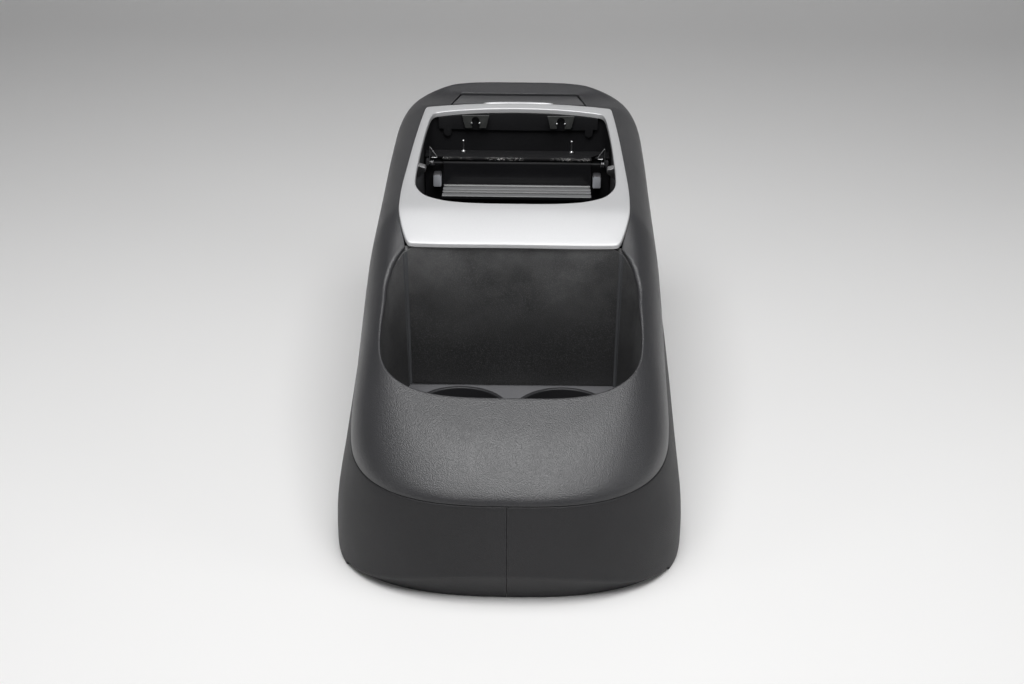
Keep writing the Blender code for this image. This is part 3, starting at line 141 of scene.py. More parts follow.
def belt_z(d):
    """Height of the parting line between the shell and the lower panels."""
    rise = soft(d - BELT_RISE_START, 0.02) - soft(d - BELT_RISE_START - BELT_RISE_LENGTH, 0.04)
    return BELT_FRONT_Z + BELT_SLOPE * rise


def ridge_z(d):
    """Height of the top surface on the centre line."""
    z = RIM_FRONT_Z + RAMP_SLOPE * (d - NOSE_DEPTH)
    z = z - (RAMP_SLOPE - PLATEAU_SLOPE) * soft(d - KNEE, KNEE_SOFTNESS)
    z = z - (PLATEAU_SLOPE - LID_SLOPE) * soft(d - FRAME_REAR, 0.002)
    return z + (REAR_RISE - LID_SLOPE) * soft(d - LID_REAR - LID_GAP, 0.001)


DECK_Z = float(ridge_z(BULKHEAD)) - DECK_DROP
FLAP_AXIS = (BULKHEAD - FLAP_BARREL - 0.0008, DECK_Z - DECK_WALL - GAP - FLAP_BARREL - 0.0004)


def lid_half(d):
    """Half width of the lid, and of the rear band behind it."""
    ahead = LID_NEAR_HALF + (LID_FAR_HALF - LID_NEAR_HALF) * (d - FRAME_REAR) / LID_DEPTH
    return np.where(d < LID_REAR, ahead, LID_FAR_HALF + BAND_FLARE * (d - LID_REAR))


def top_z(x, d):
    """Height of the upper surface before its edges are rounded."""
    x = np.abs(x)
    shoulder = blend(d, FRAME_REAR - 0.012, FRAME_REAR + 0.002)
    past = np.maximum(x - lid_half(d), 0.0)
    bend = soft(d - LID_REAR - LID_GAP, 0.001 + SHOULDER_BLEND * past) - soft(d - LID_REAR - LID_GAP, 0.001)
    z = ridge_z(d) + (REAR_RISE - LID_SLOPE) * bend - CROWN * (1.0 - shoulder) * (x / RIM_HALF) ** 2
    z = z - SHOULDER_SLOPE * shoulder * soft(x - lid_half(d), 0.0012)
    reach = np.minimum(RIM_HALF - x, FOLD_RAMP * (x - RIM_HALF + FOLD_START * FOLD_WIDTH))
    fade = blend(d, BACK_WALL - FOLD_RUN, BACK_WALL) * (1.0 - blend(d, BACK_WALL, KNEE))
    return z - FOLD_SLOPE * fade * np.clip(reach, 0.0, FOLD_WIDTH)


class Plan:
    """A plan outline: superelliptic nose and tail joined by straight sides."""

    def __init__(self, half, front, front_cap, front_power, rear):
        self.half = half
        self.front_centre = front + front_cap
        self.front_cap = front_cap
        self.front_power = front_power
        self.rear_centre = rear - REAR_CAP

    def half_at(self, d):
        """Half width at a distance back; the body narrows a little past the bin."""
        return self.half * (1.0 - TAIL_TAPER * blend(d, BACK_WALL, KNEE + FRAME_LENGTH / 2.0))

    def point(self, t):
        """Outline points: t is 0 at the nose, 1 and 2 at the ends of the side, 3 at the tail."""
        t = np.asarray(t, dtype=float)
        nose = 0.5 * math.pi * np.clip(t, 0.0, 1.0)
        tail = 0.5 * math.pi * np.clip(t - 2.0, 0.0, 1.0)
        share = np.where(t <= 1.0, np.sin(nose) ** (2.0 / self.front_power),
                         np.maximum(np.cos(tail), 0.0) ** (2.0 / REAR_POWER))
        along = np.maximum(np.cos(nose), 0.0) ** (2.0 / self.front_power)
        middle = self.front_centre + (t - 1.0) * (self.rear_centre - self.front_centre)
        d = np.where(t <= 1.0, self.front_centre - self.front_cap * along, middle)
        d = np.where(t >= 2.0, self.rear_centre + REAR_CAP * np.sin(tail) ** (2.0 / REAR_POWER), d)
        return self.half_at(d) * share, d

    def level(self, x, d):
        """Level of points in plan, and how far they lie in an end cap (0 to 1)."""
        centre = np.clip(d, self.front_centre, self.rear_centre)
        cap = np.where(d < centre, self.front_cap, REAR_CAP)
        power = np.where(d < centre, self.front_power, REAR_POWER)
        side = (np.abs(x) / self.half_at(d)) ** power
        end = (np.abs(d - centre) / cap) ** power
        total = np.maximum(side + end, 1e-12)
        return total ** (1.0 / power), end / total


BELT_PLAN = Plan(BODY_HALF, -BELT_NOSE, NOSE_CAP, NOSE_POWER, REAR_END)
EDGE_PLAN = Plan(BODY_HALF + PANEL_PROUD, -BELT_NOSE - PANEL_PROUD, NOSE_CAP, NOSE_POWER, REAR_END)
CREASE_PLAN = Plan(FOOT_HALF, -NOSE_LIP, FOOT_CAP, FOOT_POWER, REAR_END)
TUCK_PLAN = Plan(FOOT_HALF - PANEL_EDGE, TUCK - NOSE_LIP, FOOT_CAP - TUCK, FOOT_POWER, REAR_END)


def shell_z(x, d):
    """Height of the shell's outer surface at plan positions."""
    level, end = BELT_PLAN.level(x, d)
    front = d < 0.5 * (BELT_PLAN.front_centre + BELT_PLAN.rear_centre)
    cap = np.where(front, NOSE_CAP, REAR_CAP)
    cap_round = np.where(front, NOSE_ROUND, REAR_ROUND)
    inset = (1.0 - level) * (BODY_HALF + (cap - BODY_HALF) * end)
    share = np.clip(inset / (SIDE_ROUND + (cap_round - SIDE_ROUND) * np.sqrt(end)), 0.0, 1.0)
    lift = np.maximum(0.0, 1.0 - (1.0 - share) ** ROUND_POWER) ** (1.0 / ROUND_POWER)
    centre = np.clip(d, BELT_PLAN.front_centre, BELT_PLAN.rear_centre)
    foot = belt_z(centre + (d - centre) / np.maximum(level, 0.2))
    return foot + (top_z(x, d) - foot) * lift


def frame_z(x, d):
    """Height of the painted face of the trim frame."""
    return ridge_z(np.minimum(d, FRAME_REAR)) - CROWN * (x / RIM_HALF) ** 2 + FRAME_PROUD


# Outlines
def smooth_path(points, steps):
    """A curve through the points, with the given number of steps between each two."""
    spots = np.array(points, dtype=float)
    chords = np.linalg.norm(np.diff(spots, axis=0), axis=1)
    tangents = [(spots[1] - spots[0]) / chords[0]]
    for i in range(1, len(spots) - 1):
        tangents.append((spots[i + 1] - spots[i - 1]) / (chords[i - 1] + chords[i]))
    tangents.append((spots[-1] - spots[-2]) / chords[-1])
    path = []
    for i, chord in enumerate(chords):
        for s in np.arange(steps) / steps:
            near = (2.0 * s ** 3 - 3.0 * s ** 2 + 1.0) * spots[i]
            near = near + (s ** 3 - 2.0 * s ** 2 + s) * chord * tangents[i]
            far = (3.0 * s ** 2 - 2.0 * s ** 3) * spots[i + 1] + (s ** 3 - s ** 2) * chord * tangents[i + 1]
            path.append(near + far)
    path.append(spots[-1])
    return np.array(path)


def lengths_of(path):
    """Length along the path at each of its points."""
    return np.concatenate([[0.0], np.cumsum(np.linalg.norm(np.diff(path, axis=0), axis=1))])


def points_at(path, lengths, marks):
    """Points of the path at given lengths along it."""
    return np.stack([np.interp(marks, lengths, path[:, k]) for k in range(path.shape[1])], 1)


def resample(path, count):
    """The path with evenly spaced points."""
    lengths = lengths_of(path)
    return points_at(path, lengths, np.linspace(0.0, lengths[-1], count))


def curve(start, corner, stop, count):
    """A curve that leaves its start towards the corner and comes into its stop from there."""
    s = np.linspace(0.0, 1.0, count)[:, None]
    return (1.0 - s) ** 2 * start + 2.0 * s * (1.0 - s) * corner + s ** 2 * stop


def fillet(radius, count):
    """Steps (inset, drop) round a quarter circle, from flush with the side to flush with the top."""
    turns = np.radians(np.linspace(0.0, 90.0, count))
    return [(radius * (1.0 - math.cos(a)), radius * (1.0 - math.sin(a))) for a in turns]


def round_corner(path, index, radius, count):
    """The open path with one corner replaced by a curve that starts a radius away on each side."""
    corner = path[index]
    ends = []
    for other in (path[index - 1], path[index + 1]):
        length = np.linalg.norm(other - corner)
        ends.append(corner + (other - corner) / length * min(radius, 0.5 * length))
    return np.concatenate([path[:index], curve(ends[0], corner, ends[1], count), path[index + 1:]])


def soften(points, radius, count=5, closed=True):
    """The path with its corners rounded by one radius, or by one for each point."""
    points = np.asarray(points, dtype=float)
    radii = np.broadcast_to(radius, len(points))
    path = []
    for i, corner in enumerate(points):
        if radii[i] <= 0.0 or (not closed and i in (0, len(points) - 1)):
            path.append(corner[None, :])
            continue
        ends = []
        for other in (points[i - 1], points[(i + 1) % len(points)]):
            way = other - corner
            ends.append(corner + way * min(radii[i] / np.linalg.norm(way), 0.48))
        path.append(curve(ends[0], corner, ends[1], count))
    return np.concatenate(path)


def both_sides(half):
    """A closed outline from a half that starts and ends on the centre line."""
    left = half[-2:0:-1] * np.array([-1.0, 1.0])
    return np.concatenate([half, left])


def normals_of(outline):
    """Outward normals of a closed outline that runs from the nose along +X to the tail."""
    ahead = np.roll(outline, -1, axis=0) - np.roll(outline, 1, axis=0)
    normal = np.stack([ahead[:, 1], -ahead[:, 0]], 1)
    return normal / np.linalg.norm(normal, axis=1)[:, None]


def offset(outline, distance):
    """The closed outline moved outwards."""
    return outline + normals_of(outline) * distance


def superellipse(half, centre, cap, power, count):
    """Quarter outline from the front centre to the side."""
    angle = 0.5 * math.pi * np.linspace(0.0, 1.0, count + 1)
    x = half * np.sin(angle) ** (2.0 / power)
    d = centre - cap * np.maximum(np.cos(angle), 0.0) ** (2.0 / power)
    return np.stack([x, d], 1)


def frame_half(shares):
    """A half outline of the frame at its real size."""
    return smooth_path([(FRAME_HALF * a, BACK_WALL + FRAME_LENGTH * b) for a, b in shares], 10)


FRAME_OUTER = frame_half(FRAME_OUTER_SHARES)
FRAME_INNER = frame_half(FRAME_INNER_SHARES)


def world(points, z):
    """World positions from plan points (x, d) and heights."""
    points = np.asarray(points, dtype=float)
    return np.stack([points[..., 0], points[..., 1] - MIDDLE, np.broadcast_to(z, points[..., 0].shape)], -1)


# Meshes
SMOOTH_ANGLE, CUT_ANGLE, WELD, SLIVER = 38.0, 35.0, 0.000004, 0.000001


def linked(name, data):
    """A new object of the scene that holds the data."""
    made = bpy.data.objects.new(name, data)
    bpy.context.scene.collection.objects.link(made)
    return made


def turn_outwards(data, weld):
    """Turn a mesh's faces outwards, and weld its doubled points first if asked."""
    shape = bmesh.new()
    shape.from_mesh(data)
    if weld:
        bmesh.ops.remove_doubles(shape, verts=shape.verts, dist=WELD)
        bmesh.ops.dissolve_degenerate(shape, edges=shape.edges, dist=SLIVER)
    bmesh.ops.recalc_face_normals(shape, faces=shape.faces)
    shape.to_mesh(data)
    shape.free()


def recolour(piece, look, chosen):
    """Give the faces that a test picks a second look."""
    index = len(piece.data.materials)
    piece.data.materials.append(look)
    for face in piece.data.polygons:
        if chosen(face.center, face.normal):
            face.material_index = index


def grid_mesh(name, rows, look, body="base", ring=True, tube=True, caps=False, replaced=()):
    """A piece on a body, over a grid of points: rows may close into a ring, their points into a tube."""
    rows = np.asarray(rows, dtype=float)
    count, width = rows.shape[:2]
    index = np.arange(count * width).reshape(count, width)
    upper = np.roll(index, -1, axis=0) if ring else index[1:]
    lower = index if ring else index[:-1]
    if tube:
        quads = np.stack([lower, np.roll(lower, -1, axis=1), np.roll(upper, -1, axis=1), upper], -1)
    else:
        quads = np.stack([lower[:, :-1], lower[:, 1:], upper[:, 1:], upper[:, :-1]], -1)
    faces = quads.reshape(-1, 4).tolist()
    if caps:
        faces.append(index[0][::-1].tolist())
        faces.append(index[-1].tolist())
    data = bpy.data.meshes.new(name)
    data.from_pydata(rows.reshape(-1, 3).tolist(), [], faces)
    turn_outwards(data, True)
    made = linked(name, data)
    data.materials.append(look)
    data.shade_smooth()
    data.set_sharp_from_angle(angle=math.radians(SMOOTH_ANGLE))
    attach(made, body)
    if replaced:
        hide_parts(*replaced)
    return made


def surface_normals(points):
    """Unit normals of a closed-in-rows grid of points by central differences."""
    along = np.roll(points, -1, axis=0) - np.roll(points, 1, axis=0)
    across = np.gradient(points, axis=1)
    normal = np.cross(along, across)
    return normal / np.maximum(np.linalg.norm(normal, axis=-1), 1e-12)[..., None]


def arc_between(centre, first, second, radius, count):
    """Points of an arc round a centre from one unit direction to another, for arrays of centres."""
    dot = np.clip((first * second).sum(-1, keepdims=True), -0.9999, 0.9999)
    angle = np.arccos(dot)
    points = []
    for s in np.linspace(0.0, 1.0, count):
        way = (np.sin((1.0 - s) * angle) * first + np.sin(s * angle) * second) / np.sin(angle)
        points.append(centre + radius * way)
    return points


# Materials
class Look:
    """Builds one node material step by step."""

    def __init__(self, name, roughness=0.5, metallic=0.0, coat=0.0, ior=1.5):
        self.made = bpy.data.materials.new(name)
        self.made.use_nodes = True
        self.tree = self.made.node_tree
        self.shader = self.tree.nodes["Principled BSDF"]
        for socket, value in (("Roughness", roughness), ("Metallic", metallic), ("IOR", ior),
                              ("Coat Weight", coat), ("Coat Roughness", 0.12)):
            self.shader.inputs[socket].default_value = value
        self.place = self.tree.nodes.new("ShaderNodeTexCoord").outputs["Object"]

    def feed(self, value, socket):
        """Link an output to an input, or set the input to a constant."""
        if isinstance(value, bpy.types.NodeSocket):
            self.tree.links.new(value, socket)
        else:
            socket.default_value = value

    def node(self, kind, **inputs):
        """A new node, with outputs or constants fed to its inputs by name."""
        made = self.tree.nodes.new("ShaderNode" + kind)
        for name, value in inputs.items():
            self.feed(value, made.inputs[name.replace("_", " ")])
        return made

    def axis(self, name):
        """One coordinate of the object position."""
        return self.node("SeparateXYZ", Vector=self.place).outputs[name]

    def stretched(self, scale):
        """Object position with its axes scaled."""
        return self.node("Mapping", Scale=scale, Vector=self.place).outputs["Vector"]

    def noise(self, scale, detail=3.0, roughness=0.5, place=None):
        """Noise, from 0 to 1."""
        place = place or self.place
        made = self.node("TexNoise", Scale=scale, Detail=detail, Roughness=roughness, Vector=place)
        return made.outputs["Fac"]

    def cells(self, scale, smooth=0.0):
        """Distance to the nearest of many scattered points; it may blend smoothly between them."""
        made = self.node("TexVoronoi", Scale=scale, Vector=self.place)
        if smooth:
            made.feature = "SMOOTH_F1"
            made.inputs["Smoothness"].default_value = smooth
        return made.outputs["Distance"]

    def ramp(self, value, stops):
        """A value mapped through stops of (position, grey)."""
        made = self.node("ValToRGB", Fac=value)
        elements = made.color_ramp.elements
        for element, (position, grey) in zip(elements, stops):
            element.position = position
            element.color = (grey, grey, grey, 1.0)
        return made.outputs["Color"]

    def maths(self, operation, first, second):
        """One arithmetic step; either side may be a number."""
        made = self.node("Math")
        made.operation = operation
        self.feed(first, made.inputs[0])
        self.feed(second, made.inputs[1])
        return made.outputs["Value"]

    def total(self, first, first_share, second, second_share):
        """Weighted sum of two values."""
        first = self.maths("MULTIPLY", first, first_share)
        return self.maths("ADD", first, self.maths("MULTIPLY", second, second_share))

    def colour(self, dark, light, share):
        """Base colour mixed between two colours by a share."""
        made = self.node("MixRGB", Color1=(*dark, 1.0), Color2=(*light, 1.0), Fac=share)
        self.feed(made.outputs["Color"], self.shader.inputs["Base Color"])

    def spread(self, share, low, high):
        """Roughness that varies between two values."""
        made = self.node("MapRange", To_Min=low, To_Max=high, Value=share)
        self.feed(made.outputs["Result"], self.shader.inputs["Roughness"])

    def bump(self, height, depth):
        """Bump from a height of 0 to 1 over a depth in metres, on top of any bump before it."""
        made = self.node("Bump", Strength=1.0, Distance=depth, Height=height)
        last = self.shader.inputs["Normal"].links
        if last:
            self.feed(last[0].from_socket, made.inputs["Normal"])
        self.feed(made.outputs["Normal"], self.shader.inputs["Normal"])


def leathery(look, dark, light, roughness, patches, dusting, depth):
    """Put a fine leather grain, a dusting of specks and patches of tone from a share on a look; the bin's
    share is partly painted light.
    """
    specks = look.ramp(look.noise(1500.0, 2.0), [(0.50, 0.0), (0.72, 1.0)])
    look.colour(dark, light, look.total(patches, 0.62, specks, dusting))
    look.spread(look.noise(34.0, 2.0), roughness - 0.05, roughness + 0.06)
    look.bump(look.ramp(look.cells(1300.0, 0.35), [(0.05, 1.0), (0.75, 0.0)]), depth)


def grained(name, dark, light, roughness, ior=1.6):
    """Moulded plastic with a fine leather grain, faint random patches of darker and lighter tone and a
    dusting of specks.
    """
    look = Look(name, roughness, ior=ior)
    depth = 0.00013
    leathery(look, dark, light, roughness, look.noise(9.0, 3.0), 0.30, depth)
    look.bump(look.noise(2600.0, 2.0), 0.35 * depth)
    return look.made


def bin_look_with_painted_light(name, dark, light, roughness):
    """Grained plastic of the bin, with painted light that makes its walls paler higher up, broken into noise
    patches meant as a film of dust.
    """
    look = Look(name, roughness, ior=1.5)
    lowest, run = BIN_FLOOR_Z + 0.035, 0.115
    height = look.maths("MULTIPLY", look.maths("SUBTRACT", look.axis("Z"), lowest), 1.0 / run)
    patches = look.ramp(look.noise(16.0, 4.0, 0.62), [(0.38, 0.25), (0.66, 1.0)])
    # Painted light: paler with height up the walls, in noise patches that are partly dust.
    dust_and_painted_light = look.maths("MULTIPLY", look.ramp(height, [(0.0, 0.0), (1.0, 1.0)]), patches)
    leathery(look, dark, light, roughness, dust_and_painted_light, 0.22, 0.00010)
    return look.made


def moulded(name, dark, light, roughness, depth=0.00003, coat=0.0, dust=0.25, ior=1.5):
    """Smooth moulded plastic with soft unevenness, specks of dust and faint rubbing."""
    look = Look(name, roughness, coat=coat, ior=ior)
    patches = look.noise(22.0, 4.0, 0.6)
    specks = look.ramp(look.noise(1100.0, 3.0, 0.6), [(0.60, 0.0), (0.74, 1.0)])
    look.colour(dark, light, look.total(patches, 0.55, specks, dust))
    look.spread(look.noise(60.0, 3.0), roughness - 0.06, roughness + 0.08)
    look.bump(look.noise(700.0, 3.0), depth)
    return look.made


def dusty(name):
    """Dark inner plastic with grains of dust that gather along the deck's front edge."""
    look = Look(name, 0.6, ior=1.25)
    edge = look.maths("SUBTRACT", look.axis("Y"), BULKHEAD - DECK_REACH - MIDDLE)
    near = look.ramp(look.maths("MULTIPLY", edge, 1.0 / DUST_REACH), [(0.0, 1.0), (1.0, 0.0)])
    drifts = look.ramp(look.noise(70.0, 2.0), [(0.46, 0.0), (0.62, 1.0)])
    grains = look.ramp(look.noise(900.0, 3.0, 0.7), [(0.54, 0.0), (0.60, 1.0)])
    dust = look.maths("MULTIPLY", look.maths("MULTIPLY", grains, near), drifts)
    haze = look.maths("MULTIPLY", look.noise(180.0, 4.0, 0.6), 0.01)
    look.colour((0.007, 0.007, 0.008), (0.55, 0.54, 0.53), look.maths("ADD", dust, haze))
    look.bump(grains, 0.00008)
    return look.made


def painted(name, dark, light, roughness, metallic):
    """Satin metallic paint: fine flake, soft orange peel, and a thin clear coat."""
    look = Look(name, roughness, metallic, coat=0.25)
    flake = look.ramp(look.cells(3800.0), [(0.10, 1.0), (0.75, 0.0)])
    look.colour(dark, light, look.total(flake, 0.55, look.noise(14.0), 0.35))
    look.spread(look.noise(40.0, 3.0), roughness - 0.03, roughness + 0.04)
    look.bump(look.noise(420.0, 2.0), 0.000008)
    return look.made


def drawn_steel(name, roughness=0.28):
    """Bare metal with fine drawn lines and dull spots."""
    look = Look(name, roughness, 1.0)
    lines = look.noise(900.0, 3.0, 0.6, look.stretched((1.0, 0.12, 1.0)))
    look.colour((0.50, 0.50, 0.51), (0.74, 0.74, 0.75), lines)
    look.spread(look.noise(70.0, 3.0), roughness - 0.06, roughness + 0.12)
    look.bump(lines, 0.00001)
    return look.made


def plated_sheet(name):
    """Zinc plated sheet steel with soft crystal patches."""
    look = Look(name, 0.42, 1.0)
    patches = look.ramp(look.cells(160.0), [(0.1, 0.2), (0.8, 1.0)])
    look.colour((0.30, 0.30, 0.31), (0.52, 0.52, 0.53), patches)
    look.spread(look.noise(120.0, 3.0), 0.36, 0.50)
    look.bump(look.noise(500.0, 3.0), 0.00002)
    return look.made


def ribbed_rubber(name):
    """Dull black rubber with a fine matt skin."""
    look = Look(name, 0.82)
    look.colour((0.012, 0.012, 0.013), (0.034, 0.034, 0.036), look.noise(300.0, 4.0))
    look.spread(look.noise(90.0, 2.0), 0.74, 0.90)
    look.bump(look.noise(1900.0, 2.0), 0.00005)
    return look.made


# Uneven, dusty skin of the inner mouldings
ROUGH = {"depth": 0.00006, "dust": 0.5}
LOOKS = {
    "shell": grained("grained plastic shell", (0.024, 0.024, 0.026), (0.050, 0.050, 0.054), 0.37),
    "panel": grained("grained plastic panels", (0.013, 0.013, 0.014), (0.028, 0.027, 0.030), 0.54, 1.45),
    "bin": bin_look_with_painted_light("grained plastic bin", (0.034, 0.034, 0.035), (0.300, 0.300, 0.302), 0.52),
    "tray": moulded("tray plastic", (0.12, 0.12, 0.126), (0.20, 0.20, 0.21), 0.44, depth=0.00005, dust=0.4),
    "cup": moulded("cup plastic", (0.020, 0.020, 0.022), (0.040, 0.040, 0.044), 0.42),
    "rubber": ribbed_rubber("cup mat rubber"),
    "silver": painted("silver paint", (0.56, 0.562, 0.57), (0.70, 0.702, 0.71), 0.46, 0.36),
    "lid": painted("grey paint", (0.070, 0.070, 0.074), (0.13, 0.13, 0.136), 0.34, 0.50),
    "inner": moulded("inner plastic", (0.010, 0.010, 0.011), (0.026, 0.026, 0.028), 0.5, ior=1.3, **ROUGH),
    "well": moulded("well plastic", (0.009, 0.009, 0.010), (0.024, 0.024, 0.026), 0.5, ior=1.25, **ROUGH),
    # Lighter copy of the well plastic for its side walls: painted light.
    "flank": moulded("well flank painted light", (0.040, 0.040, 0.043), (0.085, 0.085, 0.090), 0.44, **ROUGH),
    # Lighter look for the beads in the bin's rear corners: a painted highlight line.
    "corner": moulded("bin corner painted highlight", (0.070, 0.073, 0.078), (0.150, 0.154, 0.162), 0.50, **ROUGH),
    "deck": dusty("dusty deck plastic"),
    "gloss": moulded("gloss black plastic", (0.009, 0.009, 0.010), (0.018, 0.018, 0.020), 0.22,
                     depth=0.000006, coat=0.4, dust=0.2),
    # Light grey look for the rib tops of the black gloss flap: a painted reflection.
    "ledge": moulded("ledge painted reflection", (0.172, 0.174, 0.178), (0.198, 0.200, 0.205), 0.36,
                     depth=0.000003, coat=0.1, dust=0.1),
    "tab": moulded("tab plastic", (0.050, 0.052, 0.050), (0.085, 0.087, 0.085), 0.44),
    "nylon": moulded("grey nylon", (0.42, 0.43, 0.46), (0.58, 0.60, 0.64), 0.40),
    "steel": drawn_steel("bright steel"),
    "plate": plated_sheet("zinc plated steel"),
}


# Upper shell
# Steps along the belt, how they crowd at its ends, and the frame's half width share where its rear starts
BELT_STEPS, CROWD, FRAME_TURN = 6000, 1.6, 0.93 * 0.9375
# The bin's side, as (half width, distance back from its back wall), at the rim and at the floor
CORNER_BACK = 0.0032
RIM_SIDES = ((RIM_HALF - RIM_TAPER, -0.045), (RIM_HALF - RIM_TAPER, -0.028), (RIM_HALF - 0.0055, -0.012),
             (BACK_WALL_HALF + 0.0008, CORNER_BACK))
FLOOR_SIDES = ((RIM_HALF - 0.0062, -0.042), (RIM_HALF - 0.0082, -0.026), (RIM_HALF - 0.0110, -0.010),
               (BACK_WALL_HALF, 0.0040))


def side_path(start, sides, steps):
    """A curve from the nose of the bin back along its side to its rear corner."""
    return smooth_path([start] + [(x, BACK_WALL + d) for x, d in sides], steps)


def belt_outline():
    """The belt's half outline, dense, with the length along it."""
    run = np.linspace(0.0, 1.0, BELT_STEPS)
    t = np.concatenate([run ** CROWD, np.linspace(1.0, 2.0, BELT_STEPS)[1:], 3.0 - run[-2::-1] ** CROWD])
    x, d = BELT_PLAN.point(t)
    path = np.stack([x, d], 1)
    return path, lengths_of(path)


def opening_runs():
    """The opening's half outline in runs: bin rim, frame side, frame rear, lid side, lid far edge."""
    nose = superellipse(RIM_HALF, NOSE_DEPTH + RIM_CAP, RIM_CAP, RIM_POWER, 160)
    side = side_path(nose[-1], RIM_SIDES, 12)
    outer = offset(both_sides(FRAME_OUTER), GAP)[:len(FRAME_OUTER)]
    first = next(i for i, point in enumerate(outer) if point[1] > BACK_WALL + 0.0095)
    notch_x = float(lid_half(FRAME_REAR)) + SIDE_GAP
    turn = max(i for i, point in enumerate(outer) if point[0] > FRAME_TURN * FRAME_HALF)
    last = max(i for i, point in enumerate(outer) if point[0] > notch_x)
    frame_side = np.concatenate([side[-1:], outer[first:turn + 1]])
    frame_rear = np.concatenate([outer[turn:last + 1], [(notch_x, outer[last][1] + 0.0004)]])
    far_x = float(lid_half(LID_REAR - 0.0001)) + SIDE_GAP
    lid = np.array([frame_rear[-1], (far_x, LID_REAR + FAR_GAP), (0.0, LID_REAR + FAR_GAP)])
    lid = round_corner(lid, 1, 0.0020, 8)
    return [nose, side, frame_side, frame_rear, lid[:5], lid[4:]]


# Height that the shell keeps under, so that it stays inside the construction model's box
SHELL_TOP = 0.242085
# Columns of the shell: the one on the crease, those over the bend, and how far the bend may reach
CREASE_COLUMN, BEND_STEPS, BEND_SHARE, BEND_LIMIT = 22, 15, 1.04, 0.80
# Points to each side over which the rim's radius is averaged
RIM_MIX = 6
# For each run of the opening: its points, where it ends on the belt outline, and its rim's radius
RUNS = (
    (72, (BODY_HALF, 0.129), 0.0016), (34, (BODY_HALF, 0.203), 0.0016), (84, (0.1183, 0.446), 0.0005),
    (18, (0.1165, 0.478), 0.0005), (22, (0.092, 0.508), 0.0006), (34, (0.0, REAR_END), 0.0006),
)


def crease_shares(shares, outer, rim):
    """Columns moved so that one runs along the crease beside the bin and the frame's front."""
    width = np.abs(outer[:, 0]) - np.abs(rim[:, 0])
    goal = (np.abs(outer[:, 0]) - RIM_HALF) / np.maximum(width, 1e-6)
    d = rim[:, 1]
    pull = blend(d, BACK_WALL - 0.045, BACK_WALL - 0.015) * (1.0 - blend(d, KNEE, KNEE + 0.04))
    held = shares[:, CREASE_COLUMN]
    goal = held + (np.clip(goal, 0.3, 0.94) - held) * pull
    below = shares * (goal / held)[:, None]
    above = 1.0 - (1.0 - shares) * ((1.0 - goal) / (1.0 - held))[:, None]
    columns = np.arange(shares.shape[1])[None, :]
    return np.where(columns <= CREASE_COLUMN, below, above)


def shell_edges():
    """Matching closed outlines of the opening and the belt, with the rim's radius along them."""
    belt, lengths = belt_outline()
    inner, outer, rounds = [], [], []
    start = 0.0
    for run, (count, end, edge) in zip(opening_runs(), RUNS):
        spots = resample(np.asarray(run, dtype=float), count)
        stop = lengths[np.linalg.norm(belt - np.array(end), axis=1).argmin()]
        path = points_at(belt, lengths, np.linspace(start, stop, count))
        skip = 1 if inner else 0
        inner.append(spots[skip:])
        outer.append(path[skip:])
        rounds.append(np.full(count - skip, edge))
        start = stop
    rounds = np.pad(np.concatenate(rounds), RIM_MIX, mode="edge")
    width = 2 * RIM_MIX + 1
    rounds = np.convolve(rounds, np.ones(width) / width, mode="valid")
    rounds = np.concatenate([rounds, rounds[-2:0:-1]])
    inner, outer = both_sides(np.concatenate(inner)), both_sides(np.concatenate(outer))
    rolled = inner[:, 1] < BACK_WALL + CORNER_BACK + 0.0001
    return inner, outer, np.where(rolled, rim_roll(inner[:, 0], inner[:, 1]), rounds)[:, None]


def build_shell():
    """The shell as a ring between its belt outline and its opening, with a rounded rim and a lip."""
    inner, outer, rounds = shell_edges()
    into = -normals_of(inner)
    rim = inner - into * rounds
    reach = np.linalg.norm(rim - outer, axis=1)[:, None]
    _, end = BELT_PLAN.level(outer[:, 0], outer[:, 1])
    cap_round = np.where(outer[:, 1] < BACK_WALL, NOSE_ROUND, REAR_ROUND)
    bend = (SIDE_ROUND + (cap_round - SIDE_ROUND) * np.sqrt(end))[:, None]
    turn = np.linspace(0.0, 0.5 * math.pi, BEND_STEPS)[None, :]
    bent = np.minimum(bend * BEND_SHARE / reach, BEND_LIMIT)
    shares = (1.0 - np.cos(turn) ** (2.0 / ROUND_POWER)) * bent
    rest = np.linspace(0.0, 1.0, BEND_STEPS)[None, 1:]
    shares = np.concatenate([shares, shares[:, -1:] + (1.0 - shares[:, -1:]) * rest], 1)
    shares = crease_shares(shares, outer, rim)
    plan = outer[:, None, :] + (rim - outer)[:, None, :] * shares[..., None]
    z = np.minimum(shell_z(plan[..., 0], plan[..., 1]), SHELL_TOP)
    z[:, 0] = belt_z(plan[:, 0, 1]) + GAP
    top = world(plan, z)
    normal = surface_normals(top)
    flat = np.stack([into[:, 0], into[:, 1], np.zeros(len(into))], 1)
    centre = top[:, -1] - normal[:, -1] * rounds
    bead = arc_between(centre, normal[:, -1], flat, rounds, 6)
    under = top - normal * WALL
    under[:, 0, 2] = top[:, 0, 2]
    under[:, 0, :2] = top[:, 0, :2] - normal[:, 2, :2] * WALL
    lip = bead[-1].copy()
    lip[:, 2] = np.minimum(under[:, -1, 2], lip[:, 2] - 0.0002)
    section = [top] + [point[:, None, :] for point in bead[1:]]
    rows = np.concatenate(section + [lip[:, None, :], under[:, -2::-1]], 1)
    return grid_mesh("shell_skin", rows, LOOKS["shell"], replaced=("upper_shell",))


# Lower panels
PANEL_ROUND, PANEL_WALL, NOTCH_RUN = 0.0014, WALL - 0.0001, 0.03


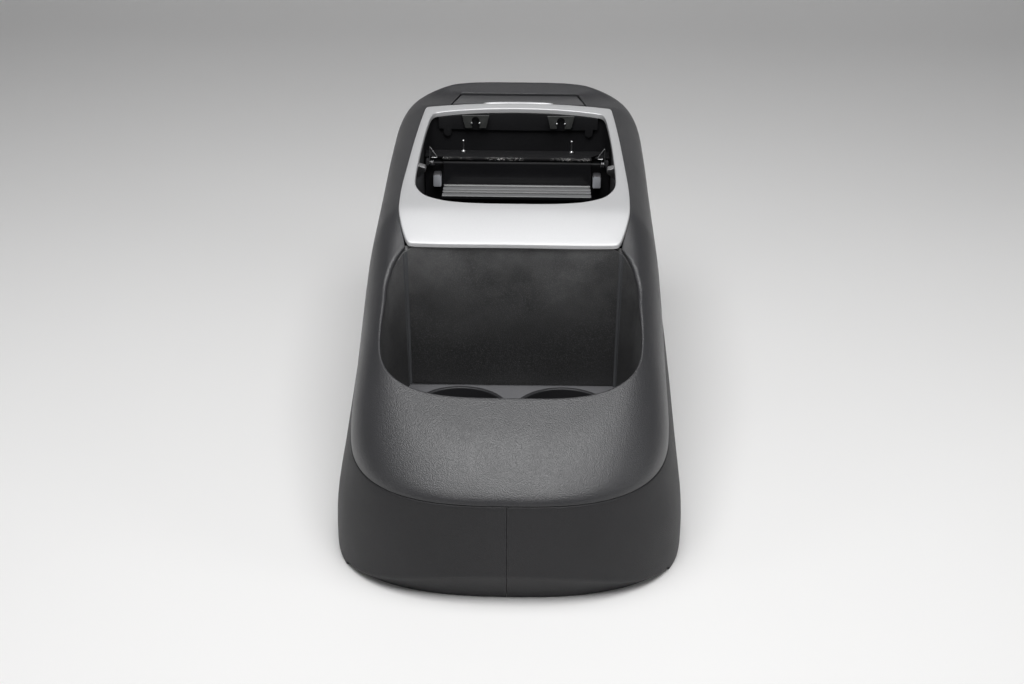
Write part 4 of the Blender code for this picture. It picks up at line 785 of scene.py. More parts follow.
def panel_section(t, side):
    """Outer section of a lower panel at one station, from its rounded top edge to the ground."""
    bx, bd = (float(v) for v in EDGE_PLAN.point(t))
    cx, cd = (float(v) for v in CREASE_PLAN.point(t))
    tx, td = (float(v) for v in TUCK_PLAN.point(t))
    front = 1.0 - float(blend(t, 0.0, NOTCH_SHARE))
    crease = SIDE_EDGE_Z + (CREASE_Z - SIDE_EDGE_Z) * front
    past = float(blend(t, NOTCH_SHARE, NOTCH_SHARE + NOTCH_RUN))
    tx += past * (cx - PANEL_EDGE - tx)
    td += past * (cd - td)
    top = float(belt_z(bd)) - GAP
    points = []
    for share in np.linspace(0.0, 1.0, 18):
        stretch = 1.0 + PANEL_BULGE * math.sin(math.pi * share) / BODY_HALF
        x, d = (bx + (cx - bx) * share) * stretch, bd + (cd - bd) * share
        points.append((x, d, top + (crease - top) * share))
    points.append((tx, td, GROUND_CLEARANCE))
    return np.array([(max(x, 0.5 * side), d, z) for x, d, z in points])


def build_panel(name, stations, signs, side, replaced):
    """A lower panel: its outer skin, thickened inwards, with a rounded top edge and crease."""
    skin = []
    for t, sign in zip(stations, signs):
        section = panel_section(t, side)
        section = np.concatenate([section[:-2], round_corner(section, len(section) - 2, 0.0022, 5)[-6:]])
        skin.append(section * (sign, 1.0, 1.0) - (0.0, MIDDLE, 0.0))
    skin = np.array(skin)
    normal = np.cross(np.gradient(skin, axis=1), np.gradient(skin, axis=0))
    normal /= np.maximum(np.linalg.norm(normal, axis=-1), 1e-12)[..., None]
    normal *= np.sign((skin[:, 6] * normal[:, 6]).sum(-1).mean())
    level = normal[:, 1].copy()
    level[:, 2] = 0.0
    level /= np.linalg.norm(level, axis=-1)[:, None]
    corner = []
    for inset, drop in fillet(PANEL_ROUND, 4)[::-1]:
        corner.append((skin[:, 0] - level * inset - (0.0, 0.0, drop))[:, None, :])
    inner = skin - normal * PANEL_WALL
    inner[:, 0] = skin[:, 0] - level * PANEL_WALL
    inner[:, -1, 2] = skin[:, -1, 2]
    rows = np.concatenate(corner + [skin[:, 1:], inner[:, ::-1]], 1)
    return grid_mesh(name, rows, LOOKS["panel"], ring=False, caps=True, replaced=replaced)


def seam_station(half):
    """Station on the tail where the belt outline has the given half width."""
    share = half / float(EDGE_PLAN.half_at(REAR_END))
    return 2.0 + math.acos(share ** (REAR_POWER / 2.0)) / (0.5 * math.pi)


def build_panels():
    """Two side panels that meet at the nose, and a rear panel between their tails."""
    seam = seam_station(REAR_SEAM_HALF)
    run = np.concatenate([np.linspace(0.0, 1.0, 70) ** 1.3, np.linspace(1.0, 2.0, 26)[1:]])
    run = np.concatenate([run, 2.0 + (seam - 2.0) * np.linspace(0.0, 1.0, 40)[1:] ** 1.8])
    run = np.sort(np.concatenate([run, [NOTCH_SHARE + NOTCH_RUN * k / 6.0 for k in range(7)]]))
    for name, sign in SIDES:
        build_panel("side_skin_" + name, run, np.full(len(run), sign), GAP, ("side_panel_" + name,))
    inner = seam_station(REAR_SEAM_HALF - REAR_SEAM_GAP)
    half = inner + (3.0 - inner) * np.linspace(0.0, 1.0, 16)
    run = np.concatenate([half, half[-2::-1]])
    signs = np.where(np.arange(len(run)) < len(half), 1.0, -1.0)
    build_panel("rear_skin", run, signs, 0.0, ("rear_panel",))


# Part helpers
def turned(name, profile, look, centre, steps, replaced=()):
    """A turned solid from (radius, height) points that run from the axis round to the axis."""
    turn = (2.0 * math.pi * np.arange(steps) / steps)[:, None]
    radius, height = np.asarray(profile, dtype=float).T
    x = centre[0] + np.cos(turn) * radius
    d = centre[1] + np.sin(turn) * radius
    rows = np.stack([x, d - MIDDLE, np.broadcast_to(centre[2] + height, x.shape)], -1)
    return grid_mesh(name, rows, look, tube=False, replaced=replaced)


def slab(name, outline, plane, low, high, look, edge, body="base", replaced=()):
    """A plate with softened rims; its outline is (d, z) for plane x, (x, z) for y, (x, d) for z."""
    outline = np.asarray(outline, dtype=float)
    u, v = outline.T
    if (u * np.roll(v, -1) - np.roll(u, -1) * v).sum() < 0.0:
        outline = outline[::-1]
    steps = fillet(edge, 4)
    levels = [(low + rise, inset) for rise, inset in steps]
    levels += [(high - rise, inset) for rise, inset in steps[::-1]]
    rows = []
    for level, inset in levels:
        u, v = offset(outline, -inset).T
        flat = np.full_like(u, level)
        x, d, z = {"x": (flat, u, v), "y": (u, flat, v), "z": (u, v, flat)}[plane]
        rows.append(np.stack([x, d - MIDDLE, z], 1))
    return grid_mesh(name, rows, look, body, ring=False, caps=True, replaced=replaced)


def wire(name, path, radius, look, sides, replaced=()):
    """A round wire along points given as (x, d, z)."""
    path = np.asarray(path, dtype=float) - np.array([0.0, MIDDLE, 0.0])
    ways = np.gradient(path, axis=0)
    ways /= np.linalg.norm(ways, axis=1)[:, None]
    side = np.cross(ways[0], (0.31, 0.22, 0.92))
    turn = (2.0 * math.pi * np.arange(sides) / sides)[:, None]
    rows = []
    for spot, way in zip(path, ways):
        side = side - way * (side @ way)
        side /= np.linalg.norm(side)
        rows.append(spot + radius * (np.cos(turn) * side + np.sin(turn) * np.cross(way, side)))
    return grid_mesh(name, rows, look, ring=False, caps=True, replaced=replaced)


def cylinder(centre, radius, low, high, axis="z", sides=96):
    """A plain cutter for holes; it is removed once it has cut."""
    turn = 2.0 * math.pi * np.arange(sides) / sides
    ring = np.stack([np.cos(turn), np.sin(turn)], 1) * radius + centre
    if axis == "z":
        verts = [(u, v - MIDDLE, level) for level in (low, high) for u, v in ring]
    else:
        verts = [(level, u - MIDDLE, v) for level in (low, high) for u, v in ring]
    faces = [list(range(sides))[::-1], list(range(sides, 2 * sides))]
    faces += [[i, (i + 1) % sides, sides + (i + 1) % sides, sides + i] for i in range(sides)]
    data = bpy.data.meshes.new("cutter")
    data.from_pydata(verts, [], faces)
    turn_outwards(data, False)
    return linked("cutter", data)


def carve(target, cutters):
    """Cut holes in a piece and keep the result as its mesh."""
    for cutter in cutters:
        step = target.modifiers.new("hole", "BOOLEAN")
        step.object = cutter
        step.solver = "EXACT"
    bpy.context.view_layer.update()
    graph = bpy.context.evaluated_depsgraph_get()
    data = bpy.data.meshes.new_from_object(target.evaluated_get(graph))
    target.modifiers.clear()
    target.data = data
    data.set_sharp_from_angle(angle=math.radians(CUT_ANGLE))
    for cutter in cutters:
        bpy.data.objects.remove(cutter, do_unlink=True)


def arc(centre, radius, start, stop, count):
    """Points of an arc in degrees."""
    turn = np.radians(np.linspace(start, stop, count + 1))
    return np.stack([centre[0] + radius * np.cos(turn), centre[1] + radius * np.sin(turn)], 1)


def box_outline(low, high, radius):
    """A rectangle with rounded corners."""
    return soften([low, (high[0], low[1]), high, (low[0], high[1])], radius, 6)


def rear_at(half, x):
    """Distance back of the far side of a half outline at a half width."""
    tail = half[half[:, 0].argmax():]
    return np.interp(np.abs(x), tail[::-1, 0], tail[::-1, 1])


def half_width(half, d):
    """Half width of a half outline beside a distance back."""
    side = half[5:half[:, 1].argmax()]
    order = side[:, 1].argsort()
    return float(np.interp(d, side[order, 1], side[order, 0]))


def rim_roll(x, d):
    """Radius of the rolled rim of the opening: fine round the nose, wide beside the back wall."""
    beside = blend(np.abs(x), BACK_WALL_HALF - 0.0012, BACK_WALL_HALF)
    wide = beside * blend(d, BACK_WALL - FOLD_RUN, BACK_WALL - 0.012)
    return RIM_EDGE + RIM_ROLL * wide * (1.0 - blend(d, BACK_WALL - 0.008, BACK_WALL + 0.003))


# Storage bin and cups
def bin_outline(at_rim, bead=True):
    """Closed outline of the bin at its rim or its floor; a fine bead runs up the two rear corners."""
    if at_rim:
        half, centre, cap, sides, back = RIM_HALF, NOSE_DEPTH + RIM_CAP, RIM_CAP, RIM_SIDES, 0.0024
    else:
        half, centre, cap, sides, back = RIM_HALF - 0.004, NOSE_DEPTH + 0.074, 0.066, FLOOR_SIDES, 0.0040
    nose = superellipse(half, centre, cap, RIM_POWER, 120)
    side = side_path(nose[-1], sides, 9)
    corner = side[-1]
    middle = np.array((0.0, BACK_WALL + back))
    along = (middle - corner) / np.linalg.norm(middle - corner)
    down = side[-2] - corner
    down /= np.linalg.norm(down)
    side = side[np.linalg.norm(side - corner, axis=1) > 1.5 * BEAD]
    turn = np.linspace(0.0, 0.5 * math.pi, 9)[:, None]
    if bead:
        bend = corner + BEAD * (np.cos(turn) * down + np.sin(turn) * along)
    else:
        bend = corner + BEAD * (down * (1.0 - np.sin(turn)) + along * (1.0 - np.cos(turn)))
    rear = np.linspace(corner + BEAD * along, middle, 24)
    return both_sides(np.concatenate([nose[:-1], side, bend, rear[1:]]))


def shell_under(points, extra):
    """World height of the shell's underside at plan points."""
    x, d = np.asarray(points).T
    step = 0.001
    slope_x = (shell_z(x + step, d) - shell_z(x - step, d)) / (2.0 * step)
    slope_d = (shell_z(x, d + step) - shell_z(x, d - step)) / (2.0 * step)
    return shell_z(x, d) - WALL * np.sqrt(1.0 + slope_x ** 2 + slope_d ** 2) - extra


def on_bead(place, normal):
    """Whether a face of the bin lies on the bead in one of its rear corners."""
    beside = abs(place.x) > BACK_WALL_HALF - 1.2 * BEAD
    near = place.y + MIDDLE > BACK_WALL + CORNER_BACK - 1.6 * BEAD
    inside = normal.y < -0.2 and normal.x * place.x < -0.2 * abs(place.x)
    return beside and near and inside and place.z > BIN_FLOOR_Z + TRAY_THICKNESS


def build_bin():
    """Bin liner with filleted floor, the tray on its floor, two cups and their mats."""
    rim, floor = bin_outline(True), bin_outline(False)
    plain, base = bin_outline(True, False), bin_outline(False, False)
    roll = rim_roll(rim[:, 0], rim[:, 1]) - RIM_EDGE
    top = shell_under(rim, 0.00025) - roll
    seat = shell_under(rim, SEAT) - roll
    outer, flange = offset(plain, LINER_WALL), offset(plain, LINER_FLANGE)
    low = BIN_FLOOR_Z - LINER_WALL
    steps = fillet(BIN_CORNER, 9)
    rows = [world(offset(base, LINER_WALL - inset), low + rise) for inset, rise in steps[::-1]]
    rows += [
        world(outer, seat - LINER_WALL),
        world(flange, shell_under(flange, SEAT + LINER_WALL) - roll),
        world(flange, shell_under(flange, SEAT) - roll),
        world(outer, np.minimum(top, shell_under(outer, 0.0004) - roll)),
        world(rim, top),
    ]
    for share in np.linspace(0.0, 1.0, 12)[1:-1]:
        path = rim + (floor - rim) * share
        rows.append(world(path, top + (BIN_FLOOR_Z + BIN_CORNER - top) * share))
    rows += [world(offset(floor, -inset), BIN_FLOOR_Z + rise) for inset, rise in steps]
    liner = grid_mesh("bin_liner", rows, LOOKS["bin"], ring=False, caps=True, replaced=("storage_bin",))
    # The rear-corner beads take the lighter corner look: a painted highlight.
    recolour(liner, LOOKS["corner"], on_bead)
    centres = [(sign * 0.5 * CUP_SPACING, CUP_CENTRE) for _, sign in SIDES]
    hole = CUP_RADIUS + CUP_WALL + GAP
    carve(liner, [cylinder(centre, hole, low - 0.01, BIN_FLOOR_Z + 0.01) for centre in centres])
    tray_z = BIN_FLOOR_Z + GAP
    tray = slab("bin_tray", offset(floor, -0.0004), "z", tray_z, tray_z + TRAY_THICKNESS,
                LOOKS["tray"], 0.0008, replaced=("cup_tray",))
    carve(tray, [cylinder(centre, hole, tray_z - 0.01, tray_z + 0.01) for centre in centres])
    for (side, _), centre in zip(SIDES, centres):
        build_cup(side, (*centre, tray_z + TRAY_THICKNESS + GAP))


def build_cup(side, place):
    """A cup with a rolled lip, and the ribbed mat on its floor."""
    inner, outer = CUP_RADIUS, CUP_RADIUS + CUP_WALL
    lip, base, bead = outer + CUP_LIP, CUP_RADIUS - CUP_TAPER, 0.0014
    profile = [
        (0.0, -CUP_DEPTH), (base - 0.001, -CUP_DEPTH), (base, 0.001 - CUP_DEPTH), (inner, bead - 0.0008),
        (inner + 0.0006, bead), (lip - 0.0006, bead), (lip, bead - 0.0009), (lip - 0.0002, 0.0),
        (outer, 0.0), (outer - CUP_TAPER, -CUP_DEPTH - CUP_WALL), (0.0, -CUP_DEPTH - CUP_WALL),
    ]
    radii = [0.0, 0.004, 0.004, 0.0006, 0.0004, 0.0006, 0.0004, 0.0002, 0.0002, 0.001, 0.0]
    turned("cup_" + side, soften(profile, radii, 5, closed=False), LOOKS["cup"], place, 144,
           replaced=("cup_insert_" + side,))
    radius = base - 0.0035
    profile = [(0.0, MAT_THICKNESS)]
    radii = [0.0]
    for middle in np.arange(0.0045, radius - 0.002, 0.0034):
        for shift, drop in ((-0.0011, 0.0), (-0.0006, 0.0008), (0.0006, 0.0008), (0.0011, 0.0)):
            profile.append((middle + shift, MAT_THICKNESS - drop))
            radii.append(0.0003)
    profile += [(radius, MAT_THICKNESS), (radius, 0.0), (0.0, 0.0)]
    radii += [0.0006, 0.0002, 0.0]
    floor = (place[0], place[1], place[2] - CUP_DEPTH + GAP)
    turned("mat_" + side, soften(profile, radii, 3, closed=False), LOOKS["rubber"], floor, 96,
           replaced=("cup_mat_" + side,))


# Trim frame and storage well
FRAME_LIP_EDGE, FRAME_LEAN = 0.0002, 1.12


def build_frame():
    """Painted frame: a ring through fine cross-sections with rounded edges and a deep inner lip."""
    outer, inner = both_sides(FRAME_OUTER), both_sides(FRAME_INNER)
    lip_back = offset(inner, FRAME_LIP_WALL)
    slope = np.where(outer[:, 1] < KNEE + KNEE_SOFTNESS, RAMP_SLOPE, PLATEAU_SLOPE)

    def face(plan):
        return frame_z(plan[:, 0], plan[:, 1])

    def under(plan):
        return face(plan) - FRAME_WALL * np.sqrt(1.0 + slope ** 2)

    section = [world(outer, under(outer))]
    steps = fillet(FRAME_ROUND, 6)
    for inset, drop in steps:
        plan = offset(outer, -inset)
        section.append(world(plan, face(plan) - drop))
    start, stop = offset(outer, -FRAME_ROUND), offset(inner, FRAME_ROUND)
    for share in np.linspace(0.0, 1.0, 16)[1:-1]:
        plan = start + (stop - start) * share
        section.append(world(plan, face(plan) + FRAME_CROWN * 4.0 * share * (1.0 - share)))
    for inset, drop in steps[::-1]:
        plan = offset(inner, inset)
        section.append(world(plan, face(plan) - drop))
    plan = offset(inner, FRAME_LIP_EDGE)
    section += [
        world(inner, face(inner) - FRAME_LIP + FRAME_LIP_EDGE),
        world(plan, face(plan) - FRAME_LIP),
        world(offset(lip_back, -FRAME_LIP_EDGE), face(lip_back) - FRAME_LIP),
        world(lip_back, face(lip_back) - FRAME_LIP + FRAME_LIP_EDGE),
        world(lip_back, under(lip_back)),
    ]
    for share in (0.66, 0.33):
        plan = outer + (lip_back - outer) * share
        section.append(world(plan, under(plan)))
    grid_mesh("frame_skin", np.stack(section, 1), LOOKS["silver"], replaced=("trim_frame",))


WELL_WALL = offset(both_sides(FRAME_INNER), FRAME_LIP_WALL + LIP_CLEARANCE)
WELL_HALF = WELL_WALL[:len(FRAME_INNER)]


def build_well():
    """Storage well with filleted floor, hung under the frame by its flange."""
    inner = WELL_WALL
    outer, flange = offset(inner, LINER_WALL), offset(inner, LINER_FLANGE)
    low = WELL_FLOOR_Z - LINER_WALL
    steps = fillet(WELL_CORNER, 7)

    def seat(plan, extra=0.0):
        return frame_z(plan[:, 0], plan[:, 1]) - FRAME_LEAN * FRAME_WALL - SEAT - extra

    rows = [world(offset(outer, -inset), low + rise) for inset, rise in steps[::-1]]
    for plan, height in ((outer, seat(outer, LINER_WALL)), (flange, seat(flange, LINER_WALL)),
                         (flange, seat(flange)), (offset(inner, GAP), seat(inner))):
        rows.append(world(plan, height))
    top = seat(inner, GAP)
    for share in np.linspace(0.0, 1.0, 10)[:-1]:
        rows.append(world(inner, top + (WELL_FLOOR_Z + WELL_CORNER - top) * share))
    rows += [world(offset(inner, -inset), WELL_FLOOR_Z + rise) for inset, rise in steps]
    well = grid_mesh("well_liner", rows, LOOKS["well"], ring=False, caps=True, replaced=("storage_well",))
    ahead = BULKHEAD - MIDDLE
    # The side walls ahead of the bulkhead take the lighter flank look: painted light on the well's own
    # plastic.
    recolour(well, LOOKS["flank"], lambda place, normal: abs(normal.x) > 0.75 and place.y < ahead)


def build_cross_wall():
    """Deck plate over the bulkhead with a rounded, dusty front edge."""
    half = half_width(WELL_HALF, BULKHEAD + DECK_DEPTH) - GAP
    front, reach, side = BULKHEAD - 0.002, BULKHEAD - DECK_REACH, FLAP_HALF + 0.0006
    points = [(-half, BULKHEAD + DECK_DEPTH), (-half, front), (-side, front), (-side, reach)]
    points += [(side, reach), (side, front), (half, front), (half, BULKHEAD + DECK_DEPTH)]
    slab("deck_plate", soften(points, 0.0007), "z", DECK_Z - DECK_WALL, DECK_Z, LOOKS["deck"], 0.0006,
         replaced=("well_deck",))
    return half


# Flap, springs and blocks
def flap_side():
    """Side view of the flap: barrel, face, cove and a ledge with three rounded ribs."""
    back, low = BULKHEAD - GAP, DECK_Z - FLAP_DROP
    face = FLAP_AXIS[0] - FLAP_BARREL
    front = face - LEDGE_DEPTH
    # Corners as (d, z, radius)
    corners = [(back, FLAP_AXIS[1] - FLAP_BARREL - 0.001, 0.0005), (back, low - FLAP_WALL, 0.0012),
               (front, low - FLAP_WALL, 0.0012), (front, low + RIB_HEIGHT, 0.0011)]
    for start, stop in FLAP_RIBS:
        left, right = front + start, front + stop
        if start > 0.0:
            corners += [(left, low, 0.0004), (left + 0.0006, low + RIB_HEIGHT, 0.0009)]
        corners += [(right - 0.0009, low + RIB_HEIGHT, 0.0012), (right, low, 0.0006)]
    barrel = [(d, z, 0.0) for d, z in arc(FLAP_AXIS, FLAP_BARREL, 180.0, -20.0, 32)]
    bend = [(d, z, 0.0) for d, z in arc((face - FLAP_COVE, low + FLAP_COVE), FLAP_COVE, -84.0, 0.0, 12)]
    outline = np.array(barrel + corners + bend)
    return soften(outline[:, :2], outline[:, 2], 6)


def build_flap(half):
    """Flap on its pin, with the guide blocks and the torsion springs at its ends."""
    flap = slab("flap_face", flap_side(), "x", -FLAP_HALF, FLAP_HALF, LOOKS["gloss"], 0.0004, "flap",
                replaced=("well_flap",))
    carve(flap, [cylinder(FLAP_AXIS, FLAP_PIN_RADIUS + PIN_CLEARANCE, -0.1, 0.1, "x", 32)])
    face_y = FLAP_AXIS[0] - FLAP_BARREL - MIDDLE
    brink, crest = face_y - 0.8 * FLAP_COVE, DECK_Z - FLAP_DROP + 0.5 * RIB_HEIGHT
    # The rib tops take the light grey ledge look: a painted reflection on black gloss plastic.
    recolour(flap, LOOKS["ledge"], lambda place, normal: place.y < brink and place.z > crest)
    # The flap's upward faces behind its face take the matt inner look, so that no highlight shows where the
    # deck shades them: painted shade.
    recolour(flap, LOOKS["inner"], lambda place, normal: place.y > face_y + 0.0002 and normal.z > 0.05)
    end = half - 0.001
    spots = [(x, *FLAP_AXIS) for x in np.linspace(-end, end, 5)]
    # The steel pin takes the dark inner look instead of steel, so that it catches no light: painted shade.
    wire("pin_flap", spots, FLAP_PIN_RADIUS, LOOKS["inner"], 28, replaced=("flap_pin",))
    for side, sign in SIDES:
        build_guide(side, sign)
        build_spring(side, sign, half)


def build_guide(side, sign):
    """The light guide block beside one end of the flap, dark on top."""
    width, depth, height = GUIDE_SIZE
    low, back, inner = DECK_Z - FLAP_DROP, BULKHEAD - GAP, FLAP_HALF + GUIDE_CLEARANCE
    left, right = sorted((sign * inner, sign * (inner + width)))
    outline = box_outline((left, low), (right, low + height), 0.0014)
    guide = slab("guide_" + side, outline, "y", back - depth, back, LOOKS["nylon"], 0.0009,
                 replaced=("flap_guide_" + side,))
    recolour(guide, LOOKS["flank"], lambda place, normal: place.z > low + 0.78 * height)


def build_spring(side, sign, half):
    """Torsion spring on the pin: three coils, and a wire hoop that stands up past the deck."""
    start = sign * (half - 0.0028) - sign * 0.0019
    radius, pitch, coils, steps = 0.0023, 0.00125, 3.0001, 28.0
    coil = [(start - sign * pitch * t, FLAP_AXIS[0] - radius * math.cos(2.0 * math.pi * t),
             FLAP_AXIS[1] + radius * math.sin(2.0 * math.pi * t)) for t in np.arange(0.0, coils, 1.0 / steps)]
    x, d, z = coil[0]
    hoop = [(x - sign * 0.0020, d - 0.0004, z + 0.0060), (x - sign * 0.0075, d - 0.0004, z + 0.0060),
            (x - sign * 0.0004, d - 0.0004, z + 0.0165), (x, d - 0.0002, z + 0.0015)]
    leg = soften(hoop, 0.0014, closed=False).tolist()
    wire("spring_" + side, leg + coil, 0.0004, LOOKS["steel"], 12, replaced=("flap_spring_" + side,))


# Clips on the far wall and studs
def build_clips():
    """The web under the frame's far edge, and on each side a notched tab, a ball stud and a side clip."""
    build_web()
    for side, sign in SIDES:
        build_tab(side, sign)
        build_stud(side, sign)
        build_side_clip(side, sign)


def build_web():
    """Web under the frame's far edge with two rounded tongues."""
    web_back = float(rear_at(WELL_HALF, 0.55 * WEB_HALF)) - GAP
    web_low = float(frame_z(WEB_HALF, web_back)) - FRAME_LIP - WEB_HEIGHT
    grid = list(np.linspace(-WEB_HALF, WEB_HALF, 61))
    for place in (-TONGUE_PLACE, TONGUE_PLACE):
        grid += [place + TONGUE_HALF * s for s in np.sin(np.linspace(-0.5, 0.5, 17) * math.pi)]
        grid += [place - TONGUE_HALF - 0.0002, place + TONGUE_HALF + 0.0002]
    rows = []
    for x in sorted(grid):
        back = float(rear_at(WELL_HALF, x)) - GAP
        front, top = back - WEB_WALL, float(frame_z(x, back)) - FRAME_LIP - 2.0 * GAP
        low = web_low - 0.5 * (back - web_back)
        inset = abs(abs(x) - TONGUE_PLACE)
        if inset < TONGUE_HALF + 0.0001:
            low -= TONGUE_DROP + math.sqrt(max(0.0, TONGUE_HALF ** 2 - inset ** 2))
        section = soften([(front, top), (back, top), (back, low), (front, low)], 0.0006)
        rows.append([(x, d - MIDDLE, z) for d, z in section])
    grid_mesh("clip_web", rows, LOOKS["inner"], ring=False, caps=True, replaced=("clip_carrier",))


def build_tab(side, sign):
    """A tab with a keyhole, and the two bright beads beside the keyhole."""
    place = sign * TAB_PLACE
    top = float(frame_z(TAB_PLACE + TAB_HALF, rear_at(WELL_HALF, TAB_PLACE))) - FRAME_LIP - 2.0 * GAP
    low, foot = top - TAB_HEIGHT, 0.77 * TAB_HALF
    notch = arc((place, top - 0.4 * TAB_HEIGHT), TAB_SLOT, 200.0, -20.0, 24).tolist()
    points = [(place + TAB_HALF, top), (place - TAB_HALF, top), (place - foot, low)]
    points += [(place - TAB_SLOT, low)] + notch + [(place + TAB_SLOT, low), (place + foot, low)]
    radii = [0.0003, 0.0003, 0.0008, 0.0006] + [0.0] * len(notch) + [0.0006, 0.0008]
    front = float(rear_at(WELL_HALF, TAB_PLACE + TAB_HALF)) - 2.0 * GAP - WEB_WALL
    slab("tab_" + side, soften(points, radii), "y", front - TAB_WALL, front, LOOKS["tab"], 0.0004,
         replaced=("clip_tab_" + side,))
    bead = [(0.0011 * math.sin(a), 0.0011 * math.cos(a)) for a in np.linspace(0.0, math.pi, 12)]
    for hand, shift in (("outer", sign), ("inner", -sign)):
        spot = (place + shift * (TAB_SLOT + 0.0001), front - TAB_WALL - 0.0004, low + 0.42 * TAB_HEIGHT)
        turned("tab_bead_" + hand + "_" + side, bead, LOOKS["steel"], spot, 20)


def build_stud(side, sign):
    """A ball stud that stands on the deck."""
    ball = [(0.0012 * math.cos(a), 0.0108 + 0.0012 * math.sin(a)) for a in np.linspace(1.57, -0.95, 14)]
    profile = [(0.0, 0.0120)] + ball + [(0.0007, 0.0094), (0.0007, 0.0021), (0.0013, 0.0015)]
    profile += [(0.0018, 0.0015), (0.0020, 0.0012), (0.0020, 0.0), (0.0, 0.0)]
    place = (sign * STUD_PLACE, BULKHEAD + 0.0080, DECK_Z + GAP)
    turned("ball_stud_" + side, profile, LOOKS["steel"], place, 40, replaced=("stud_" + side,))


def build_side_clip(side, sign):
    """A bent spring clip on the well's side wall."""
    middle, half = FRAME_REAR - 0.118, 0.0045
    wall = half_width(WELL_HALF, middle) - GAP
    high = float(frame_z(wall, middle)) - 0.0065
    # Corners as (step in from the wall, step down, radius)
    bends = ((0.0, 0.0, 0.0001), (0.0, 0.012, 0.0001), (0.0009, 0.012, 0.0002), (0.0080, 0.0060, 0.0016),
             (0.0072, 0.0030, 0.0014), (0.0009, 0.0012, 0.0003), (0.0009, 0.0, 0.0001))
    shape = soften([(wall - inset, high - drop) for inset, drop, _ in bends], [bend[2] for bend in bends])
    slab("spring_clip_" + side, shape * (sign, 1.0), "y", middle - half, middle + half, LOOKS["steel"],
         0.0002, replaced=("side_clip_" + side,))


# Rear lid
def lid_line(d):
    """Height of the lid's top."""
    return float(ridge_z(FRAME_REAR + 0.010)) + LID_SLOPE * (d - FRAME_REAR - 0.010)


def scoop_depth(x, d):
    """Depth of the finger scoop in the lid's near edge."""
    side = np.clip(1.0 - (x / SCOOP_HALF) ** 2, 0.0, 1.0)
    start = FRAME_REAR - LID_GAP
    reach = (SCOOP_DEPTH + LID_GAP) * side ** 0.30
    share = (d - start) / max(reach, 1e-6)
    return SCOOP_FLOOR * (1.0 - blend(share, 0.55, 1.0)) * float(blend(side, 0.0, 0.10))


def in_scoop(place, normal):
    """Whether a face of the lid lies on the scoop's sloping side."""
    return normal.z > 0.5 and normal.y < -0.12 and lid_line(place.y + MIDDLE) - place.z > 0.00003


def build_lid():
    """Lid with a dished finger scoop, a rounded hinge edge and softened sides, and its pin."""
    axis_d = LID_REAR - LID_AXIS_DEPTH
    axis = (axis_d, lid_line(axis_d) - LID_AXIS_DEPTH)
    steps = fillet(LID_EDGE, 4)
    stations = [(-1.0, *step) for step in steps]
    stations += [(u, 0.0, 0.0) for u in np.linspace(-1.0, 1.0, 141)[2:-2]]
    stations += [(1.0, *step) for step in steps[::-1]]
    rows = []
    for u, shift, inset in stations:
        x_near = u * LID_NEAR_HALF
        near = float(rear_at(FRAME_OUTER, x_near)) + LID_GAP
        top_d = near + np.linspace(0.0, 0.010, 34)
        top_d = np.concatenate([top_d, np.linspace(near + 0.010, axis_d, 16)[1:]])
        top = [(d, lid_line(d) - float(scoop_depth(x_near, d))) for d in top_d]
        bend = arc(axis, LID_AXIS_DEPTH, 88.0, -10.0, 18).tolist()
        low = lid_line(axis_d) - LID_THICKNESS
        under = [(axis_d + 0.0040, axis[1] - 0.0030), (axis_d - 0.0030, axis[1] - 0.0030),
                 (axis_d - 0.0060, low), (near, lid_line(near) - LID_THICKNESS)]
        points = top + bend + under
        radii = [0.0006] + [0.0] * (len(top) - 1 + len(bend)) + [0.001, 0.001, 0.001, 0.0005]
        loop = offset(soften(points, radii)[::-1], -inset)
        half = lid_half(np.minimum(loop[:, 0], LID_REAR - 0.0001))
        rows.append(np.stack([u * (half - shift), loop[:, 0] - MIDDLE, loop[:, 1]], 1))
    lid = grid_mesh("lid_panel", rows, LOOKS["lid"], "lid", ring=False, caps=True, replaced=("rear_lid",))
    carve(lid, [cylinder(axis, LID_PIN_RADIUS + PIN_CLEARANCE, -0.1, 0.1, "x", 32)])
    # The scoop's sloping side takes the silver paint look: a painted highlight on the grey lid.
    recolour(lid, LOOKS["silver"], in_scoop)
    end = float(lid_half(axis_d)) + LID_GAP + 0.0035
    spots = [(x, *axis) for x in np.linspace(-end, end, 5)]
    wire("pin_lid", spots, LID_PIN_RADIUS, LOOKS["steel"], 28, replaced=("lid_pin",))


# Looks of the pieces kept from the construction model
KEPT = {
    "inner": ("well_bulkhead", "lid_hinge_block_left", "lid_hinge_block_right", "lid_pocket"),
    "flank": ("flap_lug_left", "flap_lug_right"),
    "plate": ("floor_plate", "bin_bracket", "well_bracket_front", "well_bracket_rear"),
    "steel": tuple(a + "_screw_" + b for a in ("bin_bracket", "well_bracket_front", "well_bracket_rear")
                   for b in ("left", "right")),
}


def dress_kept():
    """Give the kept pieces node materials and softened edges."""
    for look, names in KEPT.items():
        for name in names:
            node = bpy.data.objects[name]
            node.data.materials.clear()
            node.data.materials.append(LOOKS[look])
            edge = node.modifiers.new("edges", "BEVEL")
            edge.width = 0.0003
            edge.segments = 2
            edge.limit_method = "ANGLE"
            edge.angle_limit = math.radians(40.0)


# Floor, lights and camera
STAGE_HALF, STAGE_FRONT, STAGE_BACK, STAGE_TOP, COVE = 6.0, -7.0, 1.4, 4.0, 0.8
WORLD_LIGHT, WORLD_SEEN = 0.13, 0.62
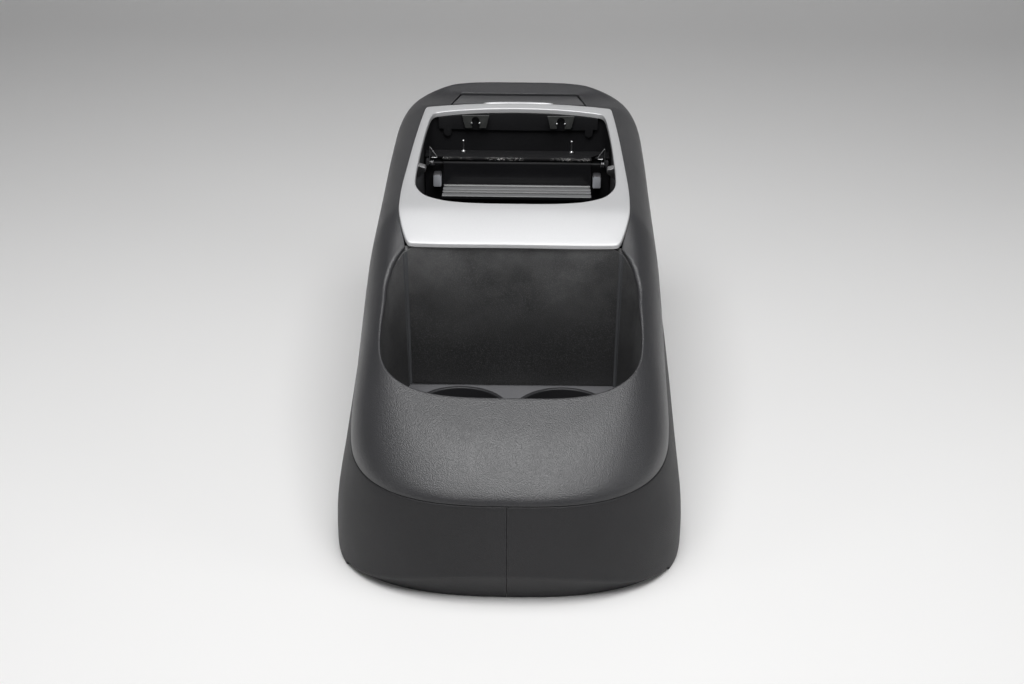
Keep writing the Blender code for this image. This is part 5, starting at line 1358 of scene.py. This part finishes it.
# Each lamp's name, place, target, width and depth, and power
LAMPS = (
    ("overhead", (0.0, -0.46, 1.50), (0.0, -0.12, 0.0), (1.3, 1.0), 24.0),
    ("left fill", (-1.5, -0.9, 0.8), (0.0, 0.0, 0.1), (0.5, 0.5), 1.6),
    ("right fill", (1.5, -0.7, 0.8), (0.0, 0.0, 0.1), (0.5, 0.5), 2.6),
)
LENS, SENSOR, CAMERA_PLACE = 49.99, 36.0, (0.0183, -1.1042, 0.633)
CAMERA_TURNS = ((1.0262, "Z"), (63.5913, "X"), (0.3038, "Z"))


def build_stage():
    """A pale floor that curves up into a backdrop, all one colour."""
    profile = [(STAGE_FRONT, 0.0), (STAGE_BACK, 0.0)]
    for a in np.linspace(0.0, 0.5 * math.pi, 20)[1:]:
        profile.append((STAGE_BACK + COVE * math.sin(a), COVE * (1.0 - math.cos(a))))
    profile.append((STAGE_BACK + COVE, STAGE_TOP))
    data = bpy.data.meshes.new("floor")
    verts = [(x, y, z) for x in (-STAGE_HALF, STAGE_HALF) for y, z in profile]
    count = len(profile)
    data.from_pydata(verts, [], [[i, i + 1, count + i + 1, count + i] for i in range(count - 1)])
    data.shade_smooth()
    floor = linked("floor", data)
    look = Look("floor paint", 0.7)
    look.colour((0.86, 0.855, 0.85), (0.90, 0.895, 0.89), look.noise(2.0))
    data.materials.append(look.made)


def light_scene():
    """Soft studio light: a wide lamp above and ahead, two fills, and a world that is seen brighter."""
    for name, place, target, size, power in LAMPS:
        data = bpy.data.lights.new(name, "AREA")
        data.shape = "RECTANGLE"
        data.size, data.size_y = size
        data.energy = power
        lamp = linked(name, data)
        lamp.location = place
        lamp.rotation_euler = (Vector(target) - Vector(place)).to_track_quat("-Z", "Y").to_euler()
    world_look = bpy.data.worlds.new("studio")
    world_look.use_nodes = True
    tree = world_look.node_tree
    shade = tree.nodes["Background"]
    shade.inputs["Color"].default_value = (0.97, 0.98, 1.0, 1.0)
    seen = tree.nodes.new("ShaderNodeMapRange")
    seen.inputs["To Min"].default_value = WORLD_LIGHT
    seen.inputs["To Max"].default_value = WORLD_SEEN
    tree.links.new(tree.nodes.new("ShaderNodeLightPath").outputs["Is Camera Ray"], seen.inputs["Value"])
    tree.links.new(seen.outputs["Result"], shade.inputs["Strength"])
    bpy.context.scene.world = world_look
    bpy.context.scene.view_settings.view_transform = "Standard"


def add_camera():
    """The photograph's camera, from a least-squares fit to points measured in it."""
    data = bpy.data.cameras.new("camera")
    data.lens, data.sensor_width = LENS, SENSOR
    camera = linked("camera", data)
    place = Matrix.Translation(CAMERA_PLACE)
    for degrees, axis in CAMERA_TURNS:
        place = place @ Matrix.Rotation(math.radians(degrees), 4, axis)
    camera.matrix_world = place
    bpy.context.scene.camera = camera


build_shell()
build_panels()
build_bin()
build_frame()
build_well()
build_flap(build_cross_wall())
build_clips()
build_lid()
dress_kept()
build_stage()
light_scene()
add_camera()
bpy.context.view_layer.update()
